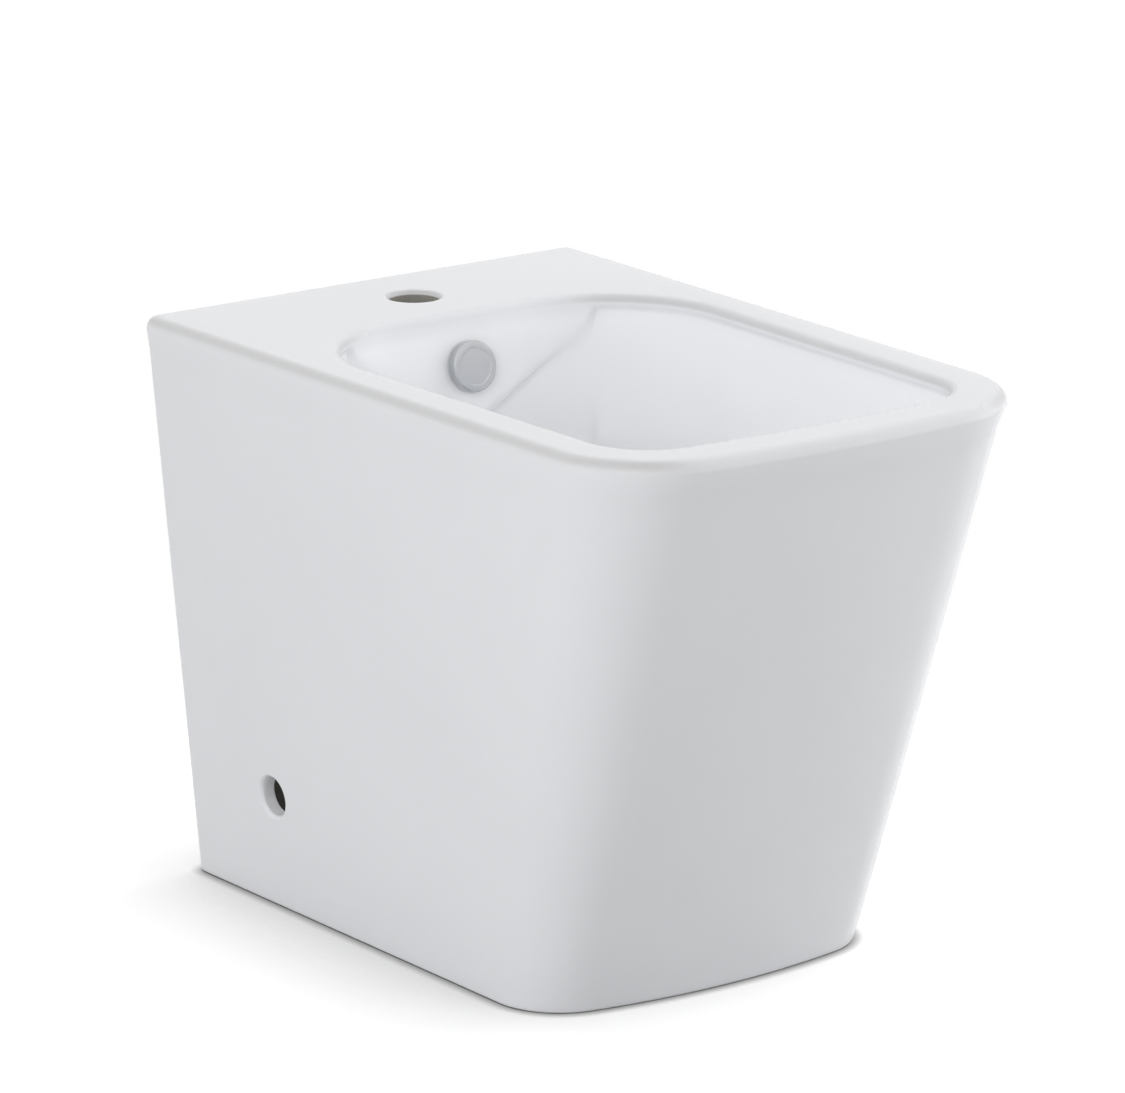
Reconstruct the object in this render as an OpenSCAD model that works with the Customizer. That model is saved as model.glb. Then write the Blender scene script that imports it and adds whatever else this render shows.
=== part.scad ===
// Floor-standing, back-to-wall bidet: one glazed ceramic casting, an overflow trim and a click waste.
// Millimetres. The origin lies on the floor, at the middle of the width and of the depth.
// +Z is up, the back that meets the wall faces +Y, and the user sits facing the tap at the back.

/* [Outer shape] */
// Height of the rim above the floor
rim_h = 400; // [380:1:420]
// Greatest depth, from the wall to the middle of the bowed front
depth = 540; // [520:1:580]
// Width of the rim at the back
rim_w = 360; // [350:1:380]
// Width of the rim at its front corners
rim_front_w = 350; // [340:1:370]
// Width of the foot
foot_w = 284; // [260:1:300]
// Depth of the foot, from the wall
foot_depth = 415; // [400:1:430]
// Corner radius of the rim at the front
rim_corner_r = 80; // [72:1:84]
// Corner radius of the foot at the front
foot_corner_r = 50; // [42:1:56]
// How far the middle of the rim's front stands ahead of its corners
rim_bow = 14.5; // [10:0.5:18]
// How far the middle of the foot's front stands ahead of its corners
foot_bow = 20; // [14:0.5:26]
// Rounding of the rim's outer edge
edge_r = 8.5; // [7:0.5:9]
// Corner radius of the casting where it meets the wall
back_corner_r = 10; // [9.5:0.5:14]

/* [Ceramic walls] */
// Thickness of the fired wall
wall = 11; // [9:0.5:13]
// Width of the thickened foot that stands on the floor
foot_land = 18; // [15:0.5:22]
// Height of the thickened foot
foot_land_h = 16; // [12:1:24]
// Thickness of the deck that carries the tap
deck_t = 12; // [10:0.5:14]
// Width of each side return that lies against the wall behind
back_return = 80; // [72:1:86]
// Height of the apron under the deck at the back
back_apron = 32; // [24:1:44]

/* [Bowl] */
// Depth of the deck, from the wall to the bowl's edge
deck_depth = 122; // [116:1:128]
// Width of the rim's side at the back of the opening
rim_side = 36; // [34:0.5:40]
// Width of the rim at the middle of the front
rim_front = 38; // [36:0.5:42]
// Corner radius of the opening at the back
bowl_back_r = 90; // [82:1:96]
// Corner radius of the opening at the front
bowl_front_r = 43; // [38:1:48]
// Rounding of the rim's inner edge
lip_r = 6; // [4:0.5:7]
// How far the bowl's wall is set back under the lip
lip_undercut = 3; // [1:0.5:4]
// Depth of the bowl at the waste, under the rim
bowl_depth = 138; // [125:1:145]
// Depth at which the upright wall begins to turn into the floor
bowl_turn = 70; // [60:1:80]
// How far the upright wall leans in from the lip to that turn
bowl_draft = 5; // [2:0.5:8]
// Squareness of the turn between wall and floor
bowl_power = 3; // [2.4:0.1:3.6]
// Share of the floor's height that falls evenly to the waste
floor_fall = 0.12; // [0.08:0.01:0.2]

/* [Panel behind the bowl] */
// How far round the back corners of the opening the panel reaches, in steps of ten degrees
panel_turn = 3; // [2:1:4]
// Height of the panel at its point, below the lip
panel_drop = 69; // [60:1:74]
// Lean of the panel, out into the bowl as it goes down
panel_lean = 12; // [9:0.5:14]
// Bend of the panel's lower edge
panel_power = 0.66; // [0.55:0.01:0.75]

/* [Holes] */
// Diameter of the tap hole
tap_hole_d = 35; // [33:0.5:36]
// Distance from the wall to the tap hole
tap_from_wall = 65; // [60:1:70]
// Diameter of each side fixing hole
side_hole_d = 27; // [22:0.5:30]
// Height of the side fixing holes above the floor
side_hole_h = 80; // [60:1:100]
// Distance from the wall to the side fixing holes
side_hole_from_wall = 106; // [90:1:125]
// Rounding of the glazed mouth of every hole
mouth_r = 2.5; // [1.5:0.5:3]
// Distance from the wall to the waste
waste_from_wall = 270; // [255:1:290]
// Diameter of the waste hole
waste_hole_d = 46; // [45:0.5:48]
// Depth of the recess that takes the waste flange
recess_depth = 3.5; // [2.5:0.5:5]
// Height of the thickened boss round the waste hole
boss_h = 32; // [28:1:36]
// Diameter of the overflow hole
overflow_hole_d = 22; // [20:0.5:24]
// Depth of the overflow hole's middle under the rim
overflow_drop = 37; // [34:1:40]
// Inner width of the cast overflow channel
channel_w = 40; // [30:1:46]
// Inner depth of the cast overflow channel
channel_t = 13; // [10:0.5:14]
// Wall of the overflow channel
channel_wall = 7; // [5:0.5:9]

/* [Overflow trim] */
// Diameter of the chrome overflow cap
cap_d = 35; // [32:0.5:38]
// Height of the cap's face above the ceramic
cap_h = 8.2; // [7.5:0.1:10]
// Gap between the cap's skirt and the ceramic, which lets the water in
cap_gap = 1.6; // [1.2:0.1:2.2]
// Thickness of the cap's shell
cap_shell = 1.4; // [1:0.1:1.8]
// Rounding of the cap's front edge
cap_edge_r = 2.4; // [1.5:0.1:3]
// Thickness of the rubber ring behind the insert
overflow_seal_t = 1.2; // [0.8:0.1:1.5]
// Thickness of the insert's flange
insert_flange_t = 1.8; // [1.5:0.1:2.2]
// Wall of the insert's tube
insert_wall = 1.6; // [1.2:0.1:2]
// Length of the insert's tube behind the ceramic's face
insert_len = 17; // [14:0.5:18]

/* [Waste] */
// Outside diameter of the threaded waste body
body_d = 41.9; // [41:0.1:42.4]
// Wall of the waste body
body_wall = 2.9; // [2.4:0.1:3.4]
// Length of the waste body below its flange
body_len = 72; // [68:1:76]
// Diameter of the waste flange
flange_d = 65; // [62:0.5:66]
// Thickness of the waste flange
flange_t = 2.5; // [2:0.1:3]
// Thickness of the gasket under the flange
gasket_t = 1.5; // [1:0.1:2]
// Height of the windows that take in the overflow water
window_h = 12; // [9:0.5:14]
// Width of the windows that take in the overflow water
window_w = 18; // [14:0.5:22]
// Thickness of the tapered gasket under the ceramic
cone_t = 9; // [7:0.5:11]
// Thickness of the slip washer
washer_t = 1.8; // [1.2:0.1:2.5]
// Thickness of the back nut
nut_t = 10; // [8:0.5:12]
// Width of the back nut across its flats
nut_af = 54; // [50:1:58]
// Outside diameter of the tailpiece
tail_d = 32; // [31:0.1:32.2]
// Wall of the tailpiece
tail_wall = 1.4; // [1:0.1:1.8]
// Length of the tailpiece below its shoulder
tail_len = 70; // [60:1:80]
// Thickness of the tailpiece's seal
tail_seal_t = 1.5; // [1:0.1:2]

/* [Plug and latch] */
// Travel of the plug from open to shut
plug_travel = 10; // [8:0.5:11]
// Diameter of the domed plug
plug_d = 62; // [58:0.5:64]
// Height of the plug's dome
plug_dome = 4; // [3:0.5:6]
// Thickness of the plug's edge
plug_edge_t = 3; // [2.5:0.1:3.5]
// Thickness of the plug's sealing ring
plug_seal_t = 3; // [2:0.5:4]
// Diameter of the plug's stem
stem_d = 6; // [5:0.5:7]
// Outside diameter of the latch cartridge
cartridge_d = 12; // [11.5:0.5:13]
// Wall of the latch cartridge
cartridge_wall = 1.4; // [1.2:0.1:1.6]
// Thickness of the piston at the foot of the stem
piston_t = 5; // [4:0.5:6]
// Height of the latch spring when the plug is open
spring_h = 34; // [30:1:36]
// Diameter of the spring's wire
wire_d = 0.9; // [0.7:0.1:1]
// Turns of the latch spring
spring_turns = 9; // [7:1:10]

/* [Clearances] */
// Radial clearance between parts that are screwed or slid together
fit = 0.1; // [0.08:0.01:0.1]
// Gap left between the shut plug's ring and the flange
shut_gap = 0.3; // [0.3:0.1:0.5]
// Radial clearance of the overflow insert in its hole
insert_fit = 0.3; // [0.2:0.1:0.5]

/* [Hidden] */
$fn = 72;

// Steps along each stretch of a plan outline
bow_steps = 6;
corner_steps = 9;
side_steps = 3;
back_steps = 3;
// Steps along the rim's outer edge, the lip and the turn of the bowl
edge_steps = 5;
lip_steps = 4;
turn_steps = 12;

// Places that follow from the sizes above
back_y = depth / 2;
rim_front_y = back_y - depth;
foot_front_y = back_y - foot_depth;
lip_z = rim_h - lip_r;
turn_z = rim_h - bowl_turn;
drain_z = rim_h - bowl_depth;
bowl_back_y = back_y - deck_depth;
drain_y = back_y - waste_from_wall;
seat_z = drain_z - recess_depth;
boss_bottom_z = seat_z - boss_h;
recess_r = flange_d / 2 + 1.5;
boss_r = recess_r + 4;
chamfer = 1.5;
cut = 1;

function bow_radius(half_w, bow) = (half_w * half_w + bow * bow) / (2 * bow);
function mix(a, b, t) = a + (b - a) * t;

rim_bow_r = bow_radius(rim_front_w / 2, rim_bow);
foot_bow_r = bow_radius(foot_w / 2, foot_bow);

// Half of a plan outline, from the middle of the front to the middle of the back:
// a bowed front, a corner, a straight side, a back corner and the straight back.
function plan_half(front_hw, back_hw, front, back, front_r, back_r, bow_r) =
    let (
        centre_y = front + bow_r,
        corner_x = front_hw - front_r,
        corner_y = centre_y - sqrt(pow(bow_r - front_r, 2) - corner_x * corner_x),
        turn_in = atan2(corner_y - centre_y, corner_x)
    )
    concat(
        [for (i = [0 : bow_steps - 1])
            let (a = mix(-90, turn_in, i / bow_steps))
            [bow_r * cos(a), centre_y + bow_r * sin(a)]],
        [for (i = [0 : corner_steps - 1])
            let (a = mix(turn_in, 0, i / corner_steps))
            [corner_x + front_r * cos(a), corner_y + front_r * sin(a)]],
        [for (i = [0 : side_steps - 1])
            [mix(front_hw, back_hw, i / side_steps), mix(corner_y, back - back_r, i / side_steps)]],
        [for (i = [0 : corner_steps - 1])
            let (a = 90 * i / corner_steps)
            [back_hw - back_r + back_r * cos(a), back - back_r + back_r * sin(a)]],
        [for (i = [0 : back_steps])
            [mix(back_hw - back_r, 0, i / back_steps), back]]
    );

// A closed ring at height z, from half an outline and its mirror image
function ring(half, z) =
    concat([for (p = half) [p[0], p[1], z]],
        [for (i = [len(half) - 2 : -1 : 1]) [-half[i][0], half[i][1], z]]);

// A closed solid through a stack of rings, with a flat face on its first and last ring
module loft(rings) {
    n = len(rings[0]);
    last = len(rings) - 1;
    walls = [for (j = [0 : last - 1], i = [0 : n - 1])
        let (a = j * n + i, b = j * n + (i + 1) % n)
        each [[a, a + n, b + n], [a, b + n, b]]];
    first_cap = [for (i = [0 : n - 1]) i];
    last_cap = [for (i = [n - 1 : -1 : 0]) last * n + i];
    polyhedron([for (r = rings) each r], concat(walls, [first_cap, last_cap]), convexity = 8);
}

// Outline of the outside at height z, drawn in by an even inset
corner_min = 1;
function skin(z, inset) =
    let (t = z / rim_h)
    plan_half(
        mix(foot_w, rim_front_w, t) / 2 - inset,
        mix(foot_w, rim_w, t) / 2 - inset,
        mix(foot_front_y, rim_front_y, t) + inset,
        back_y - inset,
        mix(foot_corner_r, rim_corner_r, t) - inset,
        max(back_corner_r - inset, corner_min),
        mix(foot_bow_r, rim_bow_r, t) - inset
    );

// Outline of the bowl's opening, grown by an even amount
function opening(grow) =
    plan_half(
        rim_front_w / 2 - rim_side + grow,
        rim_w / 2 - rim_side + grow,
        rim_front_y + rim_front - grow,
        bowl_back_y + grow,
        bowl_front_r + grow,
        bowl_back_r + grow,
        rim_bow_r - rim_front + grow
    );

// A ring on the bowl's floor: angle 0 lies on the upright wall and 90 on the waste's edge
function floor_ring(grow, bottom_z, drain_r, angle) =
    let (
        out = pow(cos(angle), 2 / bowl_power),
        rise = 1 - pow(sin(angle), 2 / bowl_power),
        z = bottom_z + (turn_z - bottom_z) * mix(rise, out, floor_fall),
        edge = ring(opening(grow - bowl_draft + lip_undercut), z)
    )
    [for (p = edge)
        let (v = [p[0], p[1] - drain_y], rim = drain_r * v / norm(v), q = mix(rim, v, out))
        [q[0], q[1] + drain_y, z]];

// The whole block with its rim and its bowl, before it is hollowed from below
module block() {
    top_rings = [for (i = [0 : edge_steps])
        let (a = 90 * i / edge_steps)
        ring(skin(rim_h, edge_r * (1 - cos(a))), rim_h - edge_r * (1 - sin(a)))];
    lip_rings = [for (i = [lip_steps : -1 : 0])
        let (a = 90 * i / lip_steps)
        ring(opening(lip_r * (1 - cos(a))), lip_z + lip_r * sin(a))];
    floor_rings = [for (i = [0 : turn_steps])
        floor_ring(0, drain_z, recess_r + mouth_r, 90 * i / turn_steps)];
    loft(concat(
        [ring(skin(0, chamfer), 0), ring(skin(0, 0), chamfer)],
        top_rings, lip_rings,
        [ring(opening(lip_undercut), lip_z - 2 * lip_undercut)],
        floor_rings));
}

// The casting's inside, as far as the deck
module inside() {
    difference() {
        loft([
            ring(skin(0, foot_land), -cut),
            ring(skin(foot_land_h, foot_land), foot_land_h),
            ring(skin(foot_land_h + foot_land - wall, wall), foot_land_h + foot_land - wall),
            ring(skin(rim_h - deck_t, wall), rim_h - deck_t)
        ]);
        bowl_shell();
        translate([0, drain_y, boss_bottom_z])
            cylinder(h = drain_z - boss_bottom_z, r = boss_r);
        channel(channel_wall);
    }
}

// The bowl with its wall's thickness added on the outside
module bowl_shell() {
    loft(concat(
        [for (i = [turn_steps : -2 : 0])
            floor_ring(wall, drain_z - wall, boss_r, 90 * i / turn_steps)],
        [ring(opening(wall + lip_undercut), lip_z), ring(opening(wall + lip_undercut), rim_h + cut)]));
}

// The channel runs down behind the bowl's wall, bends forward under its floor and enters the boss
channel_gap = 1;
channel_y = bowl_back_y + wall + channel_t / 2 + channel_gap;
channel_under = 3;
channel_level = drain_z - wall - channel_t / 2 - channel_under;
channel_drop = 14;
channel_bend_z = turn_z - channel_drop;
knee_ahead = 8;
knee_rise = 3;
channel_run = 24;
channel_fall = 1;
pilot_inset = 6;
pilot_r = waste_hole_d / 2 - pilot_inset;

// Middle line of the channel, as [y, z], with its top raised into the deck for an extra amount
function channel_line(extra) = [
    [channel_y, rim_h - deck_t - channel_wall + 2 * extra],
    [channel_y, channel_bend_z],
    [bowl_back_y - knee_ahead, drain_z + knee_rise],
    [drain_y + boss_r + channel_run, channel_level + channel_fall],
    [drain_y + pilot_r / 2, channel_level]
];

function line_normal(line, k) =
    let (
        a = line[max(k - 1, 0)],
        b = line[min(k + 1, len(line) - 1)],
        d = (b - a) / norm(b - a)
    )
    [-d[1], d[0]];

// The channel as a bent bar, with extra added all round it and above it
module channel(extra) {
    line = channel_line(extra);
    half = channel_t / 2 + extra;
    last = len(line) - 1;
    one_side = [for (k = [0 : last]) line[k] + half * line_normal(line, k)];
    other_side = [for (k = [last : -1 : 0]) line[k] - half * line_normal(line, k)];
    translate([-channel_w / 2 - extra, 0, 0])
        rotate([90, 0, 90])
        linear_extrude(channel_w + 2 * extra)
        polygon(concat(one_side, other_side));
}

// The back of the opening's edge as [x, y], from the end of the panel to the middle
panel_edge =
    let (half = opening(0), first = bow_steps + corner_steps + side_steps + corner_steps - panel_turn)
    [for (i = [first : len(half) - 1]) half[i]];
panel_overrun = 1.5;
panel_half_w = panel_edge[0][0] + panel_overrun;

// The panel under the tap: it leans out into the bowl and ends in a shallow point
module panel() {
    splits = 3;
    undercut_run = 14;
    seat = lip_undercut + 5;
    last = len(panel_edge) - 1;
    half = concat(
        [for (i = [0 : last - 1], k = [0 : splits - 1]) mix(panel_edge[i], panel_edge[i + 1], k / splits)],
        [panel_edge[last]]);
    edge = concat([for (p = half) [-p[0], p[1]]], [for (i = [len(half) - 2 : -1 : 0]) half[i]]);
    loft([for (p = edge)
        let (
            drop = panel_drop * pow(1 - abs(p[0]) / panel_half_w, panel_power),
            low = lip_z - drop,
            out = drop * tan(panel_lean)
        )
        [[p[0], p[1] + seat, low - undercut_run], [p[0], p[1] + seat, lip_z],
            [p[0], p[1], lip_z], [p[0], p[1] - out, low]]]);
}

// Frame of the overflow: its middle on the panel's face, with +Z pointing out of the ceramic
overflow_z = rim_h - overflow_drop;
overflow_y = bowl_back_y - (lip_z - overflow_z) * tan(panel_lean);
module at_overflow() {
    translate([0, overflow_y, overflow_z])
        rotate([90 - panel_lean, 0, 0])
        children();
}

// Frame of the waste, with its height kept
module at_waste() {
    translate([0, drain_y, 0]) children();
}

// The flare of a glazed mouth of radius r, with its face at height 0
module mouth(r) {
    difference() {
        translate([0, -mouth_r]) square([r + mouth_r, mouth_r + cut]);
        translate([r + mouth_r, -mouth_r]) circle(mouth_r);
    }
}

// A fixing hole: its bore is level, and its mouth follows the leaning side
module side_hole() {
    t = side_hole_h / rim_h;
    half_w = mix(foot_w, rim_w, t) / 2;
    lean = atan((rim_w - foot_w) / 2 / rim_h);
    step = 0.4;
    translate([half_w, back_y - side_hole_from_wall, side_hole_h]) {
        rotate([0, 90, 0]) cylinder(h = 3 * wall, r = side_hole_d / 2, center = true);
        rotate([0, 90 + lean, 0]) rotate_extrude() mouth(side_hole_d / 2 + step);
    }
}

module tap_hole() {
    r = tap_hole_d / 2;
    translate([0, back_y - tap_from_wall, rim_h])
        rotate_extrude() {
            translate([0, -deck_t - cut]) square([r, deck_t + 2 * cut]);
            mouth(r);
        }
}

// The way for the pipes: the back is open between two side returns, under an apron
module back_opening() {
    top = rim_h - back_apron;
    corner = 20;
    low_w = foot_w / 2 - back_return;
    top_w = mix(foot_w, rim_w, top / rim_h) / 2 - back_return;
    translate([0, back_y + cut, 0])
        rotate([90, 0, 0])
        linear_extrude(foot_land + 2 * cut)
        polygon([[-low_w, -cut], [low_w, -cut], [top_w, top - corner], [top_w - corner, top],
            [corner - top_w, top], [-top_w, top - corner]]);
}

// The casting before its holes are made, apart from a pilot hole that the channel opens into
module casting() {
    difference() {
        union() {
            block();
            panel();
        }
        inside();
        back_opening();
        channel(0);
        at_waste() translate([0, 0, boss_bottom_z - cut])
            cylinder(h = drain_z - boss_bottom_z + 2 * cut, r = pilot_r, $fn = 12);
    }
}

// All of the casting is made of lofts, so it is kept as one mesh and its holes are cut true
module ceramic_body() {
    overflow_deep = (channel_y - overflow_y) / cos(panel_lean);
    color("white")
    difference() {
        resize([0, 0, 0]) casting();
        tap_hole();
        side_hole();
        mirror([1, 0, 0]) side_hole();
        at_overflow()
            translate([0, 0, -overflow_deep]) cylinder(h = overflow_deep + cut, r = overflow_hole_d / 2);
        at_waste() {
            translate([0, 0, boss_bottom_z - cut]) cylinder(h = boss_h + 2 * cut, r = waste_hole_d / 2);
            translate([0, 0, seat_z]) cylinder(h = recess_depth + 2 * cut, r = recess_r);
        }
    }
}

// Radii of the overflow insert, which the seal and the cap share
insert_r = overflow_hole_d / 2 - insert_fit;
insert_flange_w = 3.6;
insert_flange_r = insert_r + insert_flange_w;
insert_face = overflow_seal_t + insert_flange_t;

module overflow_seal() {
    color("dimgray")
    at_overflow()
    rotate_extrude()
    translate([insert_r + fit, 0])
    square([insert_flange_r - insert_r - 2 * fit, overflow_seal_t]);
}

module overflow_insert() {
    ridge_r = insert_r + insert_fit - fit;
    ridge_t = 1.2;
    ridge_pitch = 4;
    color("gainsboro")
    at_overflow()
    rotate_extrude()
    difference() {
        union() {
            translate([0, -insert_len]) square([insert_r, insert_len + insert_face]);
            translate([0, overflow_seal_t]) square([insert_flange_r, insert_flange_t]);
            for (k = [1 : 3]) translate([0, -ridge_pitch * k]) square([ridge_r, ridge_t]);
        }
        translate([-cut, -insert_len - cut])
            square([insert_r - insert_wall + cut, insert_len + insert_face + 2 * cut]);
    }
}

// Depth of the shallow dish in the cap's face
cap_face_dish = 0.4;

// A hollow cap on four posts, with a short split collar that clips into the insert
module overflow_cap() {
    r = cap_d / 2;
    collar_r = insert_r - insert_wall - fit;
    collar_len = 8;
    slot_w = 2.4;
    slot_over = 1.5;
    post_r = 1.5;
    post_at = insert_flange_r - post_r - cap_face_dish;
    dish_r = 0.7 * r;
    dish = cap_face_dish;
    color("silver")
    at_overflow() {
        difference() {
            rotate_extrude()
            union() {
                difference() {
                    union() {
                        translate([0, cap_gap]) square([r, cap_h - cap_edge_r - cap_gap]);
                        translate([0, cap_gap]) square([r - cap_edge_r, cap_h - cap_gap]);
                        translate([r - cap_edge_r, cap_h - cap_edge_r]) circle(cap_edge_r);
                    }
                    translate([-r, cap_gap - cut])
                        square([2 * r - cap_shell, cap_h - cap_gap - cap_shell - dish + cut]);
                    translate([-cut, cap_h - dish]) square([dish_r + cut, dish + cut]);
                    translate([-2 * r, -r]) square([2 * r, 3 * r]);
                }
                translate([collar_r - cap_shell, insert_face - collar_len])
                    square([cap_shell, collar_len + cap_h - insert_face - cap_shell]);
            }
            for (a = [0, 90])
                rotate([0, 0, a + 45])
                translate([-r, -slot_w / 2, insert_face - collar_len - cut])
                cube([2 * r, slot_w, collar_len + cut + slot_over]);
        }
        for (a = [0 : 90 : 270])
            rotate([0, 0, a])
            translate([post_at, 0, insert_face])
            cylinder(h = cap_h - cap_shell / 2 - dish - insert_face, r = post_r);
    }
}

// Heights of the waste's pieces, from the recess down
flange_low_z = seat_z + gasket_t;
flange_top_z = flange_low_z + flange_t;
body_low_z = flange_low_z - body_len;
body_r = body_d / 2;
body_bore_r = body_r - body_wall;
cone_low_z = boss_bottom_z - cone_t;
washer_low_z = cone_low_z - washer_t;
hub_h = 10;
hub_wall = 3;
hub_r = cartridge_d / 2 + hub_wall;
hub_rise = 19;
hub_low_z = body_low_z + hub_rise;
rim_margin = 1;

module flange_gasket() {
    color("dimgray")
    at_waste()
    translate([0, 0, seat_z])
    rotate_extrude()
    translate([body_r + fit, 0])
    square([flange_d / 2 - rim_margin - body_r - fit, gasket_t]);
}

module waste_body() {
    dish_r = flange_d / 2 - 5;
    dish_low_z = flange_low_z + 0.8;
    throat = 1.5;
    arm_t = 3;
    color("silver")
    at_waste() {
        difference() {
            rotate_extrude()
            polygon([
                [body_bore_r, body_low_z], [body_r, body_low_z], [body_r, flange_low_z],
                [flange_d / 2, flange_low_z], [flange_d / 2, flange_top_z - rim_margin],
                [flange_d / 2 - rim_margin, flange_top_z], [dish_r, flange_top_z],
                [body_bore_r + throat, dish_low_z], [body_bore_r, dish_low_z - throat]
            ]);
            translate([-window_w / 2, -2 * body_r, channel_level - window_h / 2])
                cube([window_w, 4 * body_r, window_h]);
        }
        difference() {
            translate([0, 0, hub_low_z]) {
                cylinder(h = hub_h, r = hub_r);
                for (a = [0, 90])
                    rotate([0, 0, a])
                    translate([-body_bore_r - body_wall / 2, -arm_t / 2, 0])
                    cube([2 * body_bore_r + body_wall, arm_t, hub_h]);
            }
            translate([0, 0, hub_low_z - cut])
                cylinder(h = hub_h + 2 * cut, r = cartridge_d / 2 + fit);
        }
    }
}

module cone_gasket() {
    spigot_h = 4;
    spigot_r = waste_hole_d / 2 - fit;
    spigot_lead = 0.8;
    land = 8;
    taper = 4;
    rim_t = 3;
    top_r = waste_hole_d / 2 + land;
    color("dimgray")
    at_waste()
    rotate_extrude()
    polygon([
        [body_r + fit, cone_low_z], [top_r - taper, cone_low_z], [top_r, boss_bottom_z - rim_t],
        [top_r, boss_bottom_z], [spigot_r, boss_bottom_z],
        [spigot_r - spigot_lead, boss_bottom_z + spigot_h], [body_r + fit, boss_bottom_z + spigot_h]
    ]);
}

module slip_washer() {
    land = 5;
    color("whitesmoke")
    at_waste()
    translate([0, 0, washer_low_z])
    rotate_extrude()
    translate([body_r + fit, 0])
    square([waste_hole_d / 2 + land - body_r, washer_t]);
}

module back_nut() {
    corner_r = nut_af / 2 / cos(30);
    corner_chamfer = 2;
    color("goldenrod")
    at_waste()
    translate([0, 0, washer_low_z - nut_t])
    difference() {
        intersection() {
            cylinder(h = nut_t, r = corner_r, $fn = 6);
            rotate_extrude()
            polygon([[0, 0], [nut_af / 2, 0], [corner_r, corner_chamfer], [corner_r, nut_t], [0, nut_t]]);
        }
        translate([0, 0, -cut]) cylinder(h = nut_t + 2 * cut, r = body_r + fit);
    }
}

// Heights and radii of the tailpiece, which screws up into the body
tail_r = tail_d / 2;
shoulder_top_z = body_low_z - tail_seal_t;
shoulder_t = 4;
thread_len = 12;
spigot_r = body_bore_r - fit;

module tail_seal() {
    color("dimgray")
    at_waste()
    translate([0, 0, shoulder_top_z])
    rotate_extrude()
    translate([spigot_r + fit, 0])
    square([body_r - spigot_r - 2 * fit, tail_seal_t]);
}

module tailpiece() {
    bore_r = tail_r - tail_wall;
    color("silver")
    at_waste()
    rotate_extrude()
    polygon([
        [bore_r, shoulder_top_z - shoulder_t - tail_len], [tail_r, shoulder_top_z - shoulder_t - tail_len],
        [tail_r, shoulder_top_z - shoulder_t], [body_r, shoulder_top_z - shoulder_t],
        [body_r, shoulder_top_z], [spigot_r, shoulder_top_z],
        [spigot_r, body_low_z + thread_len], [bore_r, body_low_z + thread_len]
    ]);
}

// Heights of the latch, from the hub that carries it
cartridge_r = cartridge_d / 2;
cartridge_bore_r = cartridge_r - cartridge_wall;
collar_z = hub_low_z + hub_h;
collar_t = 3;
collar_w = 2.4;
below_collar = 15;
spring_low_z = collar_z - below_collar;
piston_low_z = spring_low_z + spring_h;
cartridge_end_t = 3;
cartridge_top_z = piston_low_z + piston_t + cartridge_end_t;
stem_r = stem_d / 2;
plug_low_z = flange_top_z + shut_gap + plug_travel + plug_seal_t;
plug_boss_wall = 4;
plug_boss_r = stem_r + plug_boss_wall;
plug_boss_h = 8;
stem_top_z = plug_low_z + plug_edge_t / 2;

module latch_cartridge() {
    color("gainsboro")
    at_waste()
    rotate_extrude()
    polygon([
        [0, spring_low_z - cartridge_end_t], [cartridge_r, spring_low_z - cartridge_end_t],
        [cartridge_r, collar_z], [cartridge_r + collar_w, collar_z],
        [cartridge_r + collar_w, collar_z + collar_t], [cartridge_r, collar_z + collar_t],
        [cartridge_r, cartridge_top_z], [stem_r + fit, cartridge_top_z],
        [stem_r + fit, piston_low_z + piston_t], [cartridge_bore_r, piston_low_z + piston_t],
        [cartridge_bore_r, spring_low_z], [0, spring_low_z]
    ]);
}

// A compression spring: a six-sided wire swept along a helix
module latch_spring() {
    sides = 6;
    per_turn = 10;
    wire_r = wire_d / 2;
    side_gap = 0.3;
    end_gap = 0.1;
    coil_r = cartridge_bore_r - wire_r - side_gap;
    steps = per_turn * spring_turns;
    low = spring_low_z + wire_r + end_gap;
    high = spring_low_z + spring_h - wire_r - end_gap;
    rings = [for (i = [0 : steps])
        let (a = 360 * i / per_turn, z = mix(low, high, i / steps))
        [for (k = [sides - 1 : -1 : 0])
            let (b = 360 * k / sides, r = coil_r + wire_r * cos(b))
            [r * cos(a), r * sin(a), z + wire_r * sin(b)]]];
    color("lightgray")
    at_waste()
    loft(rings);
}

module plug_stem() {
    piston_r = cartridge_bore_r - fit;
    color("goldenrod")
    at_waste()
    rotate_extrude()
    polygon([
        [0, piston_low_z], [piston_r, piston_low_z], [piston_r, piston_low_z + piston_t],
        [stem_r, piston_low_z + piston_t], [stem_r, stem_top_z], [0, stem_top_z]
    ]);
}

// Radii of the plug's underside, which the sealing ring slips over
skirt_r = body_bore_r + 1;
skirt_t = 2;
skirt_short = 1;
seal_out_r = flange_d / 2 - 4;

module plug_seal() {
    color("dimgray")
    at_waste()
    translate([0, 0, plug_low_z - plug_seal_t])
    rotate_extrude()
    translate([skirt_r + fit, 0])
    square([seal_out_r - skirt_r - fit, plug_seal_t]);
}

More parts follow.
